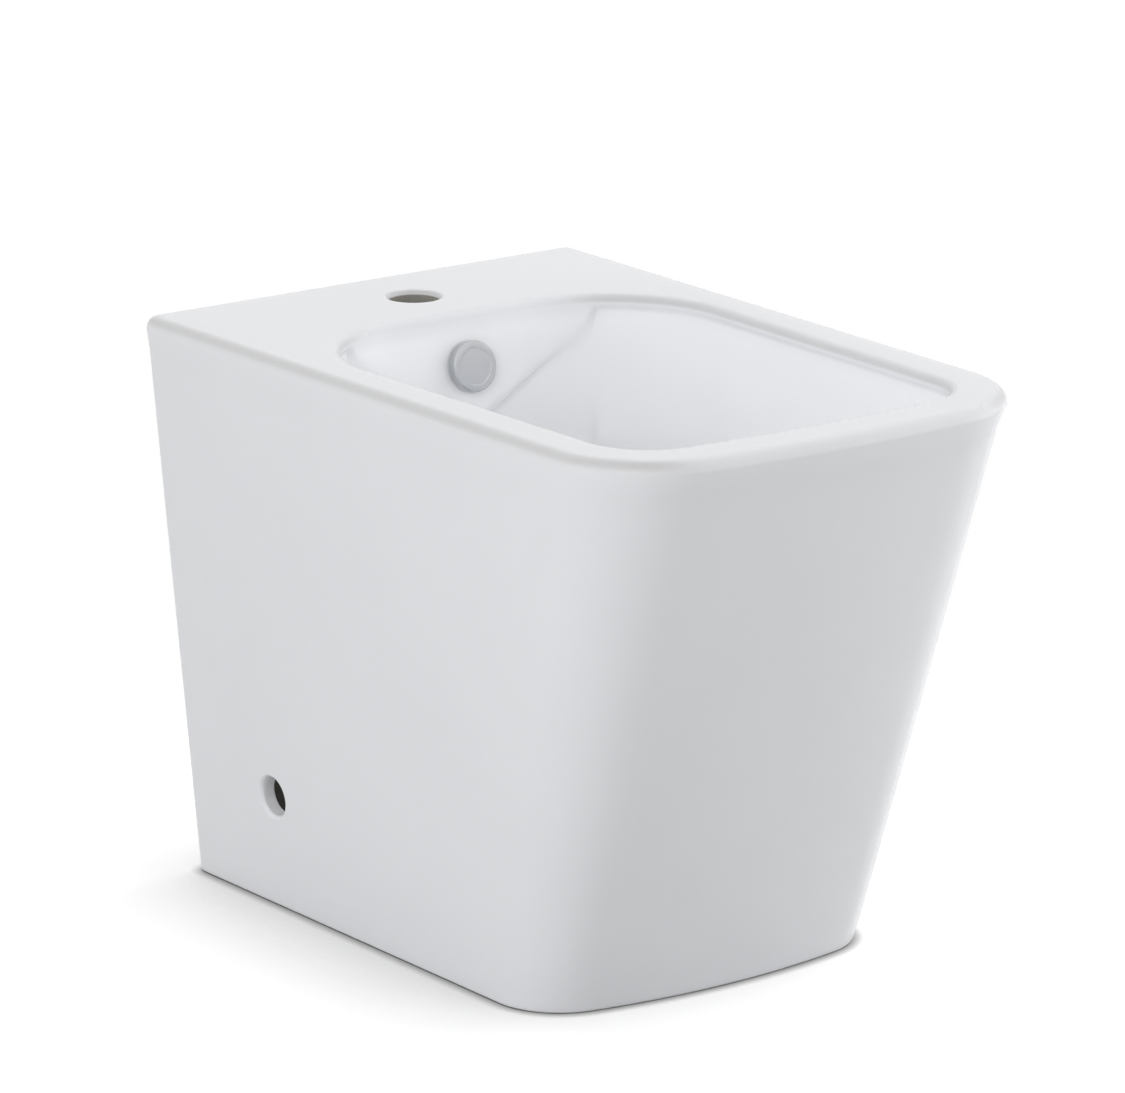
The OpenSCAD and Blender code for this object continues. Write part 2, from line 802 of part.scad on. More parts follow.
module waste_plug() {
    r = plug_d / 2;
    edge_break = 0.6;
    dome_steps = 8;
    dome_out_r = r - rim_margin;
    dome_r = bow_radius(dome_out_r, plug_dome);
    top_z = plug_low_z + plug_edge_t + plug_dome;
    skirt_low_z = plug_low_z - plug_seal_t + skirt_short;
    dome = [for (i = [0 : dome_steps])
        let (a = asin(dome_out_r / dome_r) * i / dome_steps)
        [dome_r * sin(a), top_z - dome_r * (1 - cos(a))]];
    color("silver")
    at_waste()
    rotate_extrude()
    polygon(concat(
        dome,
        [[r, plug_low_z + plug_edge_t - rim_margin], [r, plug_low_z + edge_break],
            [r - edge_break, plug_low_z], [skirt_r, plug_low_z], [skirt_r, skirt_low_z],
            [skirt_r - skirt_t, skirt_low_z], [skirt_r - skirt_t, plug_low_z],
            [plug_boss_r, plug_low_z], [plug_boss_r, plug_low_z - plug_boss_h],
            [stem_r + fit, plug_low_z - plug_boss_h], [stem_r + fit, stem_top_z], [0, stem_top_z]]));
}

ceramic_body();
overflow_seal();
overflow_insert();
overflow_cap();
waste_body();
flange_gasket();
cone_gasket();
slip_washer();
back_nut();
tail_seal();
tailpiece();
latch_cartridge();
latch_spring();
plug_stem();
plug_seal();
waste_plug();
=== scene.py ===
"""The looks of a floor-standing, back-to-wall bidet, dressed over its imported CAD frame."""

import math

import bmesh
import bpy
import numpy as np
from mathutils import Matrix, Vector
from mathutils.bvhtree import BVHTree


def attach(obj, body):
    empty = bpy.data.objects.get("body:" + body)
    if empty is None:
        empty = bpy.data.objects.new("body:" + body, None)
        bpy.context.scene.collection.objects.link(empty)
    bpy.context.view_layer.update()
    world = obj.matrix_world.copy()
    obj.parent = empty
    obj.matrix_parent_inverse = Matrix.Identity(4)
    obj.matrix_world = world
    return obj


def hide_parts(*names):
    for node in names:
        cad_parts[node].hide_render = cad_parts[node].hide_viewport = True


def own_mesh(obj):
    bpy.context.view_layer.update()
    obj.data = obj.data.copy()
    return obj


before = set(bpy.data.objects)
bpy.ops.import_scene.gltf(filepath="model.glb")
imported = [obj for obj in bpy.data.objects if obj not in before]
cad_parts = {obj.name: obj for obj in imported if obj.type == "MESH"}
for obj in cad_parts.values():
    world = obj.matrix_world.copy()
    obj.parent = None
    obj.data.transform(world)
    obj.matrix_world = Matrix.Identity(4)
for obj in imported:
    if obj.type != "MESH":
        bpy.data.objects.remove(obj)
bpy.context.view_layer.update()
MM = 0.001
SHARP = math.radians(32)

# Sizes of the casting in millimetres, the same as in the CAD source
RIM_H = 400
BACK_Y, RIM_FRONT_Y, FOOT_FRONT_Y = 270, -270, -145
RIM_W, RIM_FRONT_W, FOOT_W = 360, 350, 284
RIM_CORNER_R, FOOT_CORNER_R, BACK_CORNER_R, LEAST_CORNER_R = 80, 50, 10, 1
RIM_BOW, FOOT_BOW = 14.5, 20
EDGE_R, FOOT_EDGE_R = 8.5, 2.4
WALL, DECK_T = 11, 12
FOOT_LAND, FOOT_LAND_H = 18, 16
BACK_RETURN, BACK_APRON = 80, 32
RIM_SIDE, RIM_FRONT = 36, 38
BOWL_BACK_Y = 148
BOWL_BACK_R, BOWL_FRONT_R = 90, 43
LIP_R, UNDERCUT = 6, 3
LIP_Z = RIM_H - LIP_R
TURN_Z, DRAIN_Z, DRAIN_Y = 330, 262, 0
BOWL_DRAFT, BOWL_POWER, FLOOR_FALL = 5, 3, 0.12
PANEL_DROP, PANEL_LEAN, PANEL_POWER = 69, math.radians(12), 0.66
PANEL_HALF_W = 100.5
MOUTH_R = 2.5
TAP_Y, TAP_R, TAP_MOUTH_R = 205, 17.5, 3.5
SIDE_HOLE_Y, SIDE_HOLE_Z, SIDE_HOLE_R = 164, 80, 13.5
SEAT_Z, BOSS_LOW_Z, RECESS_R, BOSS_R, WASTE_R = 258.5, 226.5, 34, 38, 23
OVERFLOW_Z, OVERFLOW_R = 363, 11
CHANNEL_W, CHANNEL_T, CHANNEL_WALL = 40, 13, 7
CHANNEL_GAP, CHANNEL_DROP, CHANNEL_RUN, CHANNEL_FALL, CHANNEL_BEND = 1, 14, 24, 1, 24
KNEE_AHEAD, KNEE_RISE = 8, 3
CHANNEL_END_Z = DRAIN_Z - WALL - CHANNEL_T / 2 - 3
EASE = 1.5

# How the glaze lies: the share of painted shade on the edges, what is left in the side holes, how high the
# bare sole reaches, over what depth the bowl's glaze turns whiter as painted light, and how near counts as
# on a bore or skin
EDGE_PAINTED_SHADE, BORE_GLAZE = 0.36, 0.85
SOLE_H, BOWL_LIGHT_OVER = 0.5, 12
ON_BORE, ON_SKIN = 0.1, 0.2

# Sizes of the overflow's cap, sleeve and seal, whose heights count from the panel's face
FIT = 0.1
CAP_R, CAP_H, CAP_GAP, CAP_SHELL, CAP_ROOF = 17.5, 8.2, 1.6, 1.4, 1.8
CAP_DISH_R = 13.4
POST_RING_R, POST_R = 12.4, 1.5
COLLAR_LOW, SLIT_TOP, SLIT_W = -5, 4.5, 2.4
OVERFLOW_SEAL_T = 1.2
INSERT_R, INSERT_WALL, INSERT_LEN, INSERT_RIDGE = 10.7, 1.6, 17, 0.2
INSERT_FLANGE_R, INSERT_FLANGE_T = 14.3, 1.8
INSERT_BORE_R = INSERT_R - INSERT_WALL
INSERT_FACE = OVERFLOW_SEAL_T + INSERT_FLANGE_T

# Sizes of the waste, its fixings and the tail
FLANGE_R, FLANGE_T, GASKET_T = 32.5, 2.5, 1.5
BODY_R, BODY_WALL, BODY_LEN = 20.95, 2.9, 72
THREAD_DEPTH, THREAD_W, THREAD_H, THREAD_TURNS = 0.6, 2.1, 66.96, 29
WINDOW_W, WINDOW_H = 18, 12
HUB_RISE, HUB_H, HUB_WALL = 19, 10, 3
ARM_LEN, ARM_W = 39, 3
CONE_T, CONE_R, CONE_LOW_R, CONE_SPIGOT_H = 9, 31, 27, 4
WASHER_T, WASHER_R = 1.8, 28.1
NUT_T, NUT_AF = 10, 54
TAIL_R, TAIL_WALL, TAIL_LEN, TAIL_SEAL_T = 16, 1.4, 70, 1.5
SHOULDER_R, SHOULDER_T, SPIGOT_LEN = 20.5, 4, 12
FLANGE_LOW_Z = SEAT_Z + GASKET_T
FLANGE_TOP_Z = FLANGE_LOW_Z + FLANGE_T
BODY_LOW_Z = FLANGE_LOW_Z - BODY_LEN
BODY_BORE_R = BODY_R - BODY_WALL
NUT_BORE_R = BODY_R + FIT
CONE_LOW_Z = BOSS_LOW_Z - CONE_T
WASHER_LOW_Z = CONE_LOW_Z - WASHER_T
NUT_LOW_Z = WASHER_LOW_Z - NUT_T
SHOULDER_TOP_Z = BODY_LOW_Z - TAIL_SEAL_T
SHOULDER_LOW_Z = SHOULDER_TOP_Z - SHOULDER_T
HUB_LOW_Z = BODY_LOW_Z + HUB_RISE
HUB_TOP_Z = HUB_LOW_Z + HUB_H

# Sizes of the latch and the plug, which stands raised at rest
CARTRIDGE_R, CARTRIDGE_WALL, CARTRIDGE_END_T = 6, 1.4, 3
COLLAR_W, COLLAR_T, BELOW_COLLAR = 2.4, 3, 15
SPRING_H, SPRING_TURNS, WIRE_D = 34, 9, 0.9
PISTON_T, STEM_R = 5, 3
PLUG_R, PLUG_EDGE_R, PLUG_EDGE_T, PLUG_DOME, PLUG_SEAL_T = 31, 1, 3, 4, 3
PLUG_TRAVEL, SHUT_GAP = 10, 0.3
PLUG_BOSS_R, PLUG_BOSS_H, SKIRT_T, SKIRT_H = 7, 8, 2, 2
CARTRIDGE_BORE_R = CARTRIDGE_R - CARTRIDGE_WALL
SPRING_LOW_Z = HUB_TOP_Z - BELOW_COLLAR
PISTON_LOW_Z = SPRING_LOW_Z + SPRING_H
PISTON_TOP_Z = PISTON_LOW_Z + PISTON_T
PLUG_LOW_Z = FLANGE_TOP_Z + SHUT_GAP + PLUG_TRAVEL + PLUG_SEAL_T
STEM_TOP_Z = PLUG_LOW_Z + PLUG_EDGE_T / 2
SKIRT_R = BODY_BORE_R + 1
PLUG_SEAL_R = FLANGE_R - 4


def mix(a, b, t):
    return a + (b - a) * t


def smooth(t):
    t = np.clip(t, 0, 1)
    return t * t * (3 - 2 * t)


# Plain mesh tools


def new_object(name, verts, faces):
    """An object at the origin from points in millimetres."""
    mesh = bpy.data.meshes.new(name)
    mesh.from_pydata((np.asarray(verts, float) * MM).tolist(), [], faces)
    mesh.validate()
    obj = bpy.data.objects.new(name, mesh)
    bpy.context.scene.collection.objects.link(obj)
    mesh.shade_smooth()
    return obj


def loft(name, rings):
    """A solid through a stack of rings of equal count."""
    rings = np.asarray(rings, float)
    rows, n = rings.shape[:2]
    faces = []
    for j in range(rows - 1):
        a, b = j * n, (j + 1) * n
        faces += [(a + i, a + (i + 1) % n, b + (i + 1) % n, b + i) for i in range(n)]
    faces.append(tuple(range(n - 1, -1, -1)))
    faces.append(tuple((rows - 1) * n + i for i in range(n)))
    return new_object(name, rings.reshape(-1, 3), faces)


def placed(obj, at=(0, 0, 0), tilt=None):
    """Turns a mesh about the origin and then moves it, in millimetres."""
    turn = Matrix.Identity(4) if tilt is None else tilt
    obj.data.transform(Matrix.Translation(Vector(at) * MM) @ turn)
    return obj


def turned(name, profile, steps=96, at=(0, 0, 0), tilt=None):
    """A solid of revolution from a closed profile of (radius, height).
    A profile that touches the axis ends there."""
    angles = np.linspace(0, 2 * math.pi, steps, endpoint=False)
    verts, rows = [], []
    for r, h in profile:
        if r < 1e-6:
            rows.append([len(verts)])
            verts.append((0, 0, h))
        else:
            rows.append(list(range(len(verts), len(verts) + steps)))
            verts += [(r * math.cos(a), r * math.sin(a), h) for a in angles]
    on_axis = len(rows[0]) == 1 and len(rows[-1]) == 1
    faces = []
    for j in range(len(rows) - 1 if on_axis else len(rows)):
        a, b = rows[j], rows[(j + 1) % len(rows)]
        for i in range(steps):
            k = (i + 1) % steps
            if len(a) == 1 and len(b) > 1:
                faces.append((a[0], b[k], b[i]))
            elif len(b) == 1 and len(a) > 1:
                faces.append((a[i], a[k], b[0]))
            elif len(a) > 1:
                faces.append((a[i], a[k], b[k], b[i]))
    return placed(new_object(name, verts, faces), at, tilt)


def arc(centre_r, centre_h, radius, start, end, steps=6):
    """Points of an arc in a profile, with its angles in degrees."""
    return [
        (centre_r + radius * math.cos(a), centre_h + radius * math.sin(a))
        for a in np.radians(np.linspace(start, end, steps + 1))
    ]


def bend(start, corner, end, steps):
    """Points of a smooth bend from start round a corner to end."""
    return [
        (1 - t) ** 2 * start + 2 * t * (1 - t) * corner + t**2 * end
        for t in np.linspace(0, 1, steps + 1)
    ]


def rounded(points, radius, steps=4):
    """A closed profile with each corner rounded as far as its sides allow.
    A point (r, h, 0) stays sharp."""
    out = []
    n = len(points)
    for i in range(n):
        p = np.array(points[i][:2], float)
        r = points[i][2] if len(points[i]) > 2 else radius
        a = np.array(points[i - 1][:2], float) - p
        b = np.array(points[(i + 1) % n][:2], float) - p
        la, lb = np.linalg.norm(a), np.linalg.norm(b)
        cos = float(np.dot(a, b) / (la * lb))
        if r <= 0 or abs(cos) > 0.9995:
            out.append(tuple(p))
            continue
        half = math.acos(np.clip(cos, -1, 1)) / 2
        run = min(r / math.tan(half), 0.45 * la, 0.45 * lb)
        start, end = p + a / la * run, p + b / lb * run
        out += [tuple(q) for q in bend(start, p, end, steps)]
    return out


def band(name, bore_r, outer_r, low, high, corner):
    """A turned ring of square section with rounded corners."""
    points = [(bore_r, low), (outer_r, low), (outer_r, high), (bore_r, high)]
    return turned(name, rounded(points, corner))


def drill(name, radius, low, high, steps=96, at=(0, 0, 0), tilt=None):
    """A plain round cutter."""
    return turned(name, [(0, low), (radius, low), (radius, high), (0, high)], steps, at, tilt)


def sharpen(obj):
    obj.data.set_sharp_from_angle(angle=SHARP)


def boolean(target, tool, operation="DIFFERENCE"):
    """Cuts or joins tool into target and deletes it."""
    mod = target.modifiers.new("cut", "BOOLEAN")
    mod.operation, mod.solver, mod.object = operation, "MANIFOLD", tool
    settle(target)
    bpy.data.objects.remove(tool)


def settle(obj):
    """Applies the modifiers, so that the object holds a plain mesh."""
    bpy.context.view_layer.update()
    evaluated = obj.evaluated_get(bpy.context.evaluated_depsgraph_get())
    mesh = bpy.data.meshes.new_from_object(evaluated)
    obj.modifiers.clear()
    old, obj.data = obj.data, mesh
    mesh.name = old.name
    bpy.data.meshes.remove(old)


class SmoothSkin:
    """Remembers the smooth normals of a surface, so that they can be given back after it is cut."""

    def __init__(self, obj):
        sharpen(obj)
        mesh = obj.data
        mesh.calc_loop_triangles()
        self.points = np.array([v.co for v in mesh.vertices])
        self.normals = np.array([c.vector for c in mesh.corner_normals])
        self.tris = [tuple(t.vertices) for t in mesh.loop_triangles]
        self.loops = [tuple(t.loops) for t in mesh.loop_triangles]
        self.tree = BVHTree.FromPolygons(self.points.tolist(), self.tris)

    def face_at(self, point, normal, reach):
        hit, n, index, gap = self.tree.find_nearest(point, reach)
        if hit is None or abs(n.dot(normal)) < 0.9:
            return None
        return gap, index

    def normal_at(self, point, index):
        a, b, c = (self.points[v] for v in self.tris[index])
        na, nb, nc = (self.normals[k] for k in self.loops[index])
        u, v, w = b - a, c - a, np.asarray(point) - a
        uu, uv, vv, wu, wv = u @ u, u @ v, v @ v, w @ u, w @ v
        d = uu * vv - uv * uv
        if abs(d) < 1e-24:
            return na
        s, t = (vv * wu - uv * wv) / d, (uu * wv - uv * wu) / d
        s, t = min(max(s, 0), 1), min(max(t, 0), 1)
        if s + t > 1:
            s, t = s / (s + t), t / (s + t)
        return (1 - s - t) * na + s * nb + t * nc


def restore_normals(obj, skins, face_reach=0.02 * MM, corner_reach=0.1 * MM):
    """Gives each corner the normal that the uncut skin has there."""
    mesh = obj.data
    mesh.shade_smooth()
    sharpen(obj)
    normals = np.array([c.vector for c in mesh.corner_normals])
    for face in mesh.polygons:
        best = None
        for skin in skins:
            found = skin.face_at(face.center, face.normal, face_reach)
            if found and (best is None or found[0] < best[0]):
                best = (found[0], found[1], skin)
        if best is None:
            continue
        _, index, skin = best
        facing = np.array(face.normal)
        for k in face.loop_indices:
            point = mesh.vertices[mesh.loops[k].vertex_index].co
            near = skin.tree.find_nearest(point, corner_reach)
            at = index
            if near[0] is not None and near[1].dot(face.normal) > 0.94:
                at = near[2]
            n = skin.normal_at(point, at)
            normals[k] = n if n @ facing > 0 else -n
    normals /= np.linalg.norm(normals, axis=1)[:, None]
    mesh.normals_split_custom_set(normals.tolist())


# The casting's outlines and surfaces


def bow_radius(half_w, bow):
    return (half_w**2 + bow**2) / (2 * bow)


RIM_BOW_R = bow_radius(RIM_FRONT_W / 2, RIM_BOW)
FOOT_BOW_R = bow_radius(FOOT_W / 2, FOOT_BOW)


# Points on half of an outline: on the bow, a front corner, a side, a back corner and half of the back
BOW_STEPS, CORNER_STEPS, SIDE_STEPS, BACK_CORNER_STEPS, BACK_STEPS = 22, 18, 34, 36, 16


def outline(front_hw, back_hw, front, back, front_r, back_r, bow_r):
    """A closed plan outline: a bowed front, round corners, straight sides and a straight back."""
    centre_y = front + bow_r
    corner_x = front_hw - front_r
    corner_y = centre_y - math.sqrt((bow_r - front_r) ** 2 - corner_x**2)
    turn_in = math.atan2(corner_y - centre_y, corner_x)
    half = []
    for a in np.linspace(-math.pi / 2, turn_in, BOW_STEPS, endpoint=False):
        half.append((bow_r * math.cos(a), centre_y + bow_r * math.sin(a)))
    for a in np.linspace(turn_in, 0, CORNER_STEPS, endpoint=False):
        half.append((corner_x + front_r * math.cos(a), corner_y + front_r * math.sin(a)))
    for t in np.linspace(0, 1, SIDE_STEPS, endpoint=False):
        half.append((mix(front_hw, back_hw, t), mix(corner_y, back - back_r, t)))
    for a in np.linspace(0, math.pi / 2, BACK_CORNER_STEPS, endpoint=False):
        half.append((back_hw - back_r + back_r * math.cos(a), back - back_r + back_r * math.sin(a)))
    for t in np.linspace(0, 1, BACK_STEPS + 1):
        half.append((mix(back_hw - back_r, 0, t), back))
    half = np.array(half)
    other = half[-2:0:-1] * (-1, 1)
    return np.vstack([half, other])


def flat(points, z):
    return np.column_stack([points, np.full(len(points), float(z))])


def skin(z, inset):
    """The outside at height z, drawn in by an even inset."""
    t = z / RIM_H
    return outline(
        mix(FOOT_W, RIM_FRONT_W, t) / 2 - inset,
        mix(FOOT_W, RIM_W, t) / 2 - inset,
        mix(FOOT_FRONT_Y, RIM_FRONT_Y, t) + inset,
        BACK_Y - inset,
        mix(FOOT_CORNER_R, RIM_CORNER_R, t) - inset,
        max(BACK_CORNER_R - inset, LEAST_CORNER_R),
        mix(FOOT_BOW_R, RIM_BOW_R, t) - inset,
    )


def opening(grow):
    """The bowl's opening, grown by an even amount."""
    return outline(
        RIM_FRONT_W / 2 - RIM_SIDE + grow,
        RIM_W / 2 - RIM_SIDE + grow,
        RIM_FRONT_Y + RIM_FRONT - grow,
        BOWL_BACK_Y + grow,
        BOWL_FRONT_R + grow,
        BOWL_BACK_R + grow,
        RIM_BOW_R - RIM_FRONT + grow,
    )


def floor_ring(grow, bottom_z, drain_r, angle):
    """The bowl's floor: angle 0 lies on the upright wall and a right angle on the waste's edge."""
    out = max(math.cos(angle), 0) ** (2 / BOWL_POWER)
    rise = 1 - math.sin(angle) ** (2 / BOWL_POWER)
    z = bottom_z + (TURN_Z - bottom_z) * mix(rise, out, FLOOR_FALL)
    v = opening(grow - BOWL_DRAFT + UNDERCUT) - (0, DRAIN_Y)
    rim = drain_r * v / np.linalg.norm(v, axis=1)[:, None]
    return flat(mix(rim, v, out) + (0, DRAIN_Y), z)


def bowl_columns(rows=72):
    """The bowl under the lip as one fine curve for each point of the outline, from the lip to the waste."""
    undercut = [
        flat(opening(UNDERCUT * smooth(t)), LIP_Z - 2 * UNDERCUT * t)
        for t in np.linspace(0, 1, 13)
    ]
    wall = [
        flat(opening(mix(UNDERCUT, UNDERCUT - BOWL_DRAFT, t)), mix(LIP_Z - 2 * UNDERCUT, TURN_Z, t))
        for t in np.linspace(0, 1, 13)[1:]
    ]
    turn = [
        floor_ring(0, DRAIN_Z, RECESS_R + MOUTH_R, a)
        for a in np.linspace(0, math.pi / 2, rows + 1)[1:]
    ]
    return np.array(undercut + wall + turn)


def panel_edge_drop(x):
    """How far the panel's lower edge lies under the lip, x from the middle."""
    return PANEL_DROP * np.clip(1 - np.abs(x) / PANEL_HALF_W, 0, 1) ** PANEL_POWER


FACE_ROWS, CREASE_ROWS, UNDER_ROWS, REST_ROWS = 16, 6, 12, 46
CREASE_R, ELBOW_R, LEAST_DROP = 8.0, 7, 2.0
PLAIN_RUN = 9.0


def on_curve(column, run, s):
    """The points of a curve at the distances s from its start."""
    return np.array([np.interp(s, run, column[:, k]) for k in range(3)]).T


def panel_rows(x, y, column, run):
    """One column over the panel, its crease and its underside, and how far down the bowl's wall it ends."""
    drop = max(float(panel_edge_drop(x)), LEAST_DROP)
    out = drop * math.tan(PANEL_LEAN)
    lip_point = np.array([x, y, LIP_Z])
    low = np.array([x, y - out, LIP_Z - drop])
    down = np.array([0, -math.sin(PANEL_LEAN), -math.cos(PANEL_LEAN)])
    # The underside is short in the middle, where the panel hangs lowest, and longer at its ends
    meet_z = LIP_Z - drop - mix(22, 8, smooth(drop / 50)) - 0.55 * out
    s_meet = float(np.interp(-meet_z, -column[:, 2], run))
    meet = on_curve(column, run, s_meet)
    tangent = on_curve(column, run, s_meet + 1.0) - meet
    tangent /= np.linalg.norm(tangent)
    elbow = meet - tangent * min(ELBOW_R, 0.6 * np.linalg.norm(meet - low))
    inward = elbow - low
    inward /= np.linalg.norm(inward)
    r = min(CREASE_R, 0.4 * drop)
    start, end = low - down * r, low + inward * r
    face = [mix(lip_point, start, t) for t in np.linspace(0, 1, FACE_ROWS + 1)]
    crease = bend(start, low, end, CREASE_ROWS)[1:]
    under = bend(end, elbow, meet, UNDER_ROWS)[1:]
    return np.array(face + crease + under), s_meet


def bowl_rows():
    """Rows of the bowl from the lip down. Under the tap they follow the panel and its underside."""
    base = bowl_columns()
    lip = opening(0)
    top_rows = FACE_ROWS + CREASE_ROWS + UNDER_ROWS
    grid = np.zeros((top_rows + REST_ROWS + 1, len(lip), 3))
    for c, (x, y) in enumerate(lip):
        column = base[:, c]
        steps = np.linalg.norm(np.diff(column, axis=0), axis=1)
        run = np.concatenate([[0], np.cumsum(steps)])
        if y > 0 and abs(x) < PANEL_HALF_W:
            top, end = panel_rows(x, y, column, run)
        else:
            end = PLAIN_RUN
            top = on_curve(column, run, np.linspace(0, end, top_rows + 1))
        rest = on_curve(column, run, mix(end, run[-1], np.linspace(0, 1, REST_ROWS + 1)[1:]))
        grid[:, c] = np.vstack([top, rest])
    return list(grid)


def casting_block():
    foot = [
        flat(skin(0, FOOT_EDGE_R * (1 - math.sin(a))), FOOT_EDGE_R * (1 - math.cos(a)))
        for a in np.linspace(0, math.pi / 2, 5)
    ]
    side = [
        flat(skin(z, 0), z) for z in np.linspace(FOOT_EDGE_R, RIM_H - EDGE_R, 25)[1:-1]
    ]
    edge = [
        flat(skin(RIM_H, EDGE_R * (1 - math.cos(a))), RIM_H - EDGE_R * (1 - math.sin(a)))
        for a in np.linspace(0, math.pi / 2, 11)
    ]
    lip = [
        flat(opening(LIP_R * (1 - math.cos(a))), LIP_Z + LIP_R * math.sin(a))
        for a in np.linspace(math.pi / 2, 0, 9)[:-1]
    ]
    return loft("glazed_casting", foot + side + edge + lip + bowl_rows())


def bowl_shell():
    rings = [
        floor_ring(WALL, DRAIN_Z - WALL, BOSS_R, a)
        for a in np.linspace(math.pi / 2, 0, 25)
    ]
    grown = opening(WALL + UNDERCUT)
    return loft("bowl_shell", rings + [flat(grown, LIP_Z), flat(grown, RIM_H + 1)])


def channel_line():
    """The overflow channel's middle line as (y, z), eased round its bends."""
    back = BOWL_BACK_Y + WALL + CHANNEL_T / 2 + CHANNEL_GAP
    points = [
        (back, RIM_H - DECK_T - CHANNEL_WALL),
        (back, TURN_Z - CHANNEL_DROP),
        (BOWL_BACK_Y - KNEE_AHEAD, DRAIN_Z + KNEE_RISE),
        (DRAIN_Y + BOSS_R + CHANNEL_RUN, CHANNEL_END_Z + CHANNEL_FALL),
        (DRAIN_Y + WASTE_R - 3, CHANNEL_END_Z),
    ]
    points = [np.array(p, float) for p in points]
    line = [points[0]]
    for a, p, b in zip(points, points[1:], points[2:]):
        run = min(CHANNEL_BEND, 0.45 * np.linalg.norm(p - a), 0.45 * np.linalg.norm(b - p))
        start = p + (a - p) / np.linalg.norm(a - p) * run
        end = p + (b - p) / np.linalg.norm(b - p) * run
        line += bend(start, p, end, 6)
    return np.array(line + [points[-1]])


def channel(name, extra, corner):
    """The channel as a bent bar of rounded section, with extra added all round it."""
    line = channel_line()
    ahead = np.gradient(line, axis=0)
    ahead /= np.linalg.norm(ahead, axis=1)[:, None]
    up = np.column_stack([-ahead[:, 1], ahead[:, 0]])
    w, t = CHANNEL_W / 2 + extra, CHANNEL_T / 2 + extra
    section = rounded([(-w, -t), (w, -t), (w, t), (-w, t)], corner)
    rings = [
        [(x, p[0] + h * u[0], p[1] + h * u[1]) for x, h in section]
        for p, u in zip(line, up)
    ]
    return loft(name, rings)


def hollow():
    """The casting's inside: everything under the deck that isn't the bowl, its boss or the channel."""
    thick_z = FOOT_LAND_H + FOOT_LAND - WALL
    rings = [
        flat(skin(0, FOOT_LAND - EASE), -1),
        flat(skin(0, FOOT_LAND - EASE), 0.01),
        flat(skin(EASE, FOOT_LAND), EASE),
        flat(skin(FOOT_LAND_H, FOOT_LAND), FOOT_LAND_H),
    ]
    rings += [flat(skin(z, WALL), z) for z in np.linspace(thick_z, RIM_H - DECK_T, 13)]
    inside = loft("inside", rings)
    boolean(inside, bowl_shell())
    boss = turned(
        "boss",
        [(0, BOSS_LOW_Z)]
        + arc(BOSS_R - 2, BOSS_LOW_Z + 2, 2, -90, 0)
        + [(BOSS_R, DRAIN_Z), (0, DRAIN_Z)],
        at=(0, DRAIN_Y, 0),
    )
    boolean(inside, boss)
    boolean(inside, channel("channel_wall", CHANNEL_WALL, 7))
    return inside


def back_opening():
    """The way for the pipes: the back is open between two side returns, under an apron."""
    top = RIM_H - BACK_APRON
    low_w = FOOT_W / 2 - BACK_RETURN
    top_w = mix(FOOT_W, RIM_W, top / RIM_H) / 2 - BACK_RETURN

    def section(y, grow):
        points = [
            (-low_w - grow, -5, 0),
            (low_w + grow, -5, 0),
            (top_w + grow, top + grow, 20),
            (-top_w - grow, top + grow, 20),
        ]
        return [(x, y, z) for x, z in rounded(points, 20, steps=6)]

    rings = [section(BACK_Y + 5, EASE), section(BACK_Y, EASE)]
    rings += [section(BACK_Y - EASE, 0), section(BACK_Y - FOOT_LAND - 5, 0)]
    return loft("back_opening", rings)


def mouth(r, deep, flare, high=4):
    """Profile of a round cutter with a flared mouth at height 0."""
    curve = arc(r + flare, -flare, flare, 180, 90, 8)
    return [(0, -deep), (r, -deep)] + curve + [(r + flare, high), (0, high)]


def side_hole(side):
    """A fixing hole: its bore is level, and its mouth follows the leaning side."""
    half_w = mix(FOOT_W, RIM_W, SIDE_HOLE_Z / RIM_H) / 2
    lean = math.atan((RIM_W - FOOT_W) / 2 / RIM_H)
    level = Matrix.Rotation(side * math.pi / 2, 4, "Y")
    leaning = Matrix.Rotation(side * (math.pi / 2 + lean), 4, "Y")
    at = (side * half_w, SIDE_HOLE_Y, SIDE_HOLE_Z)
    bore = drill("bore", SIDE_HOLE_R, -30, -1, 96, at, level)
    flare_r = MOUTH_R + 1.6
    flare = turned("flare", mouth(SIDE_HOLE_R + 0.02, flare_r + 0.4, flare_r), 96, at, leaning)
    boolean(bore, flare, "UNION")
    return bore


def overflow_frame():
    """Places things on the panel's face at the overflow, with +Z out of the ceramic."""
    y = BOWL_BACK_Y - (LIP_Z - OVERFLOW_Z) * math.tan(PANEL_LEAN)
    return (0, y, OVERFLOW_Z), Matrix.Rotation(math.pi / 2 - PANEL_LEAN, 4, "X")


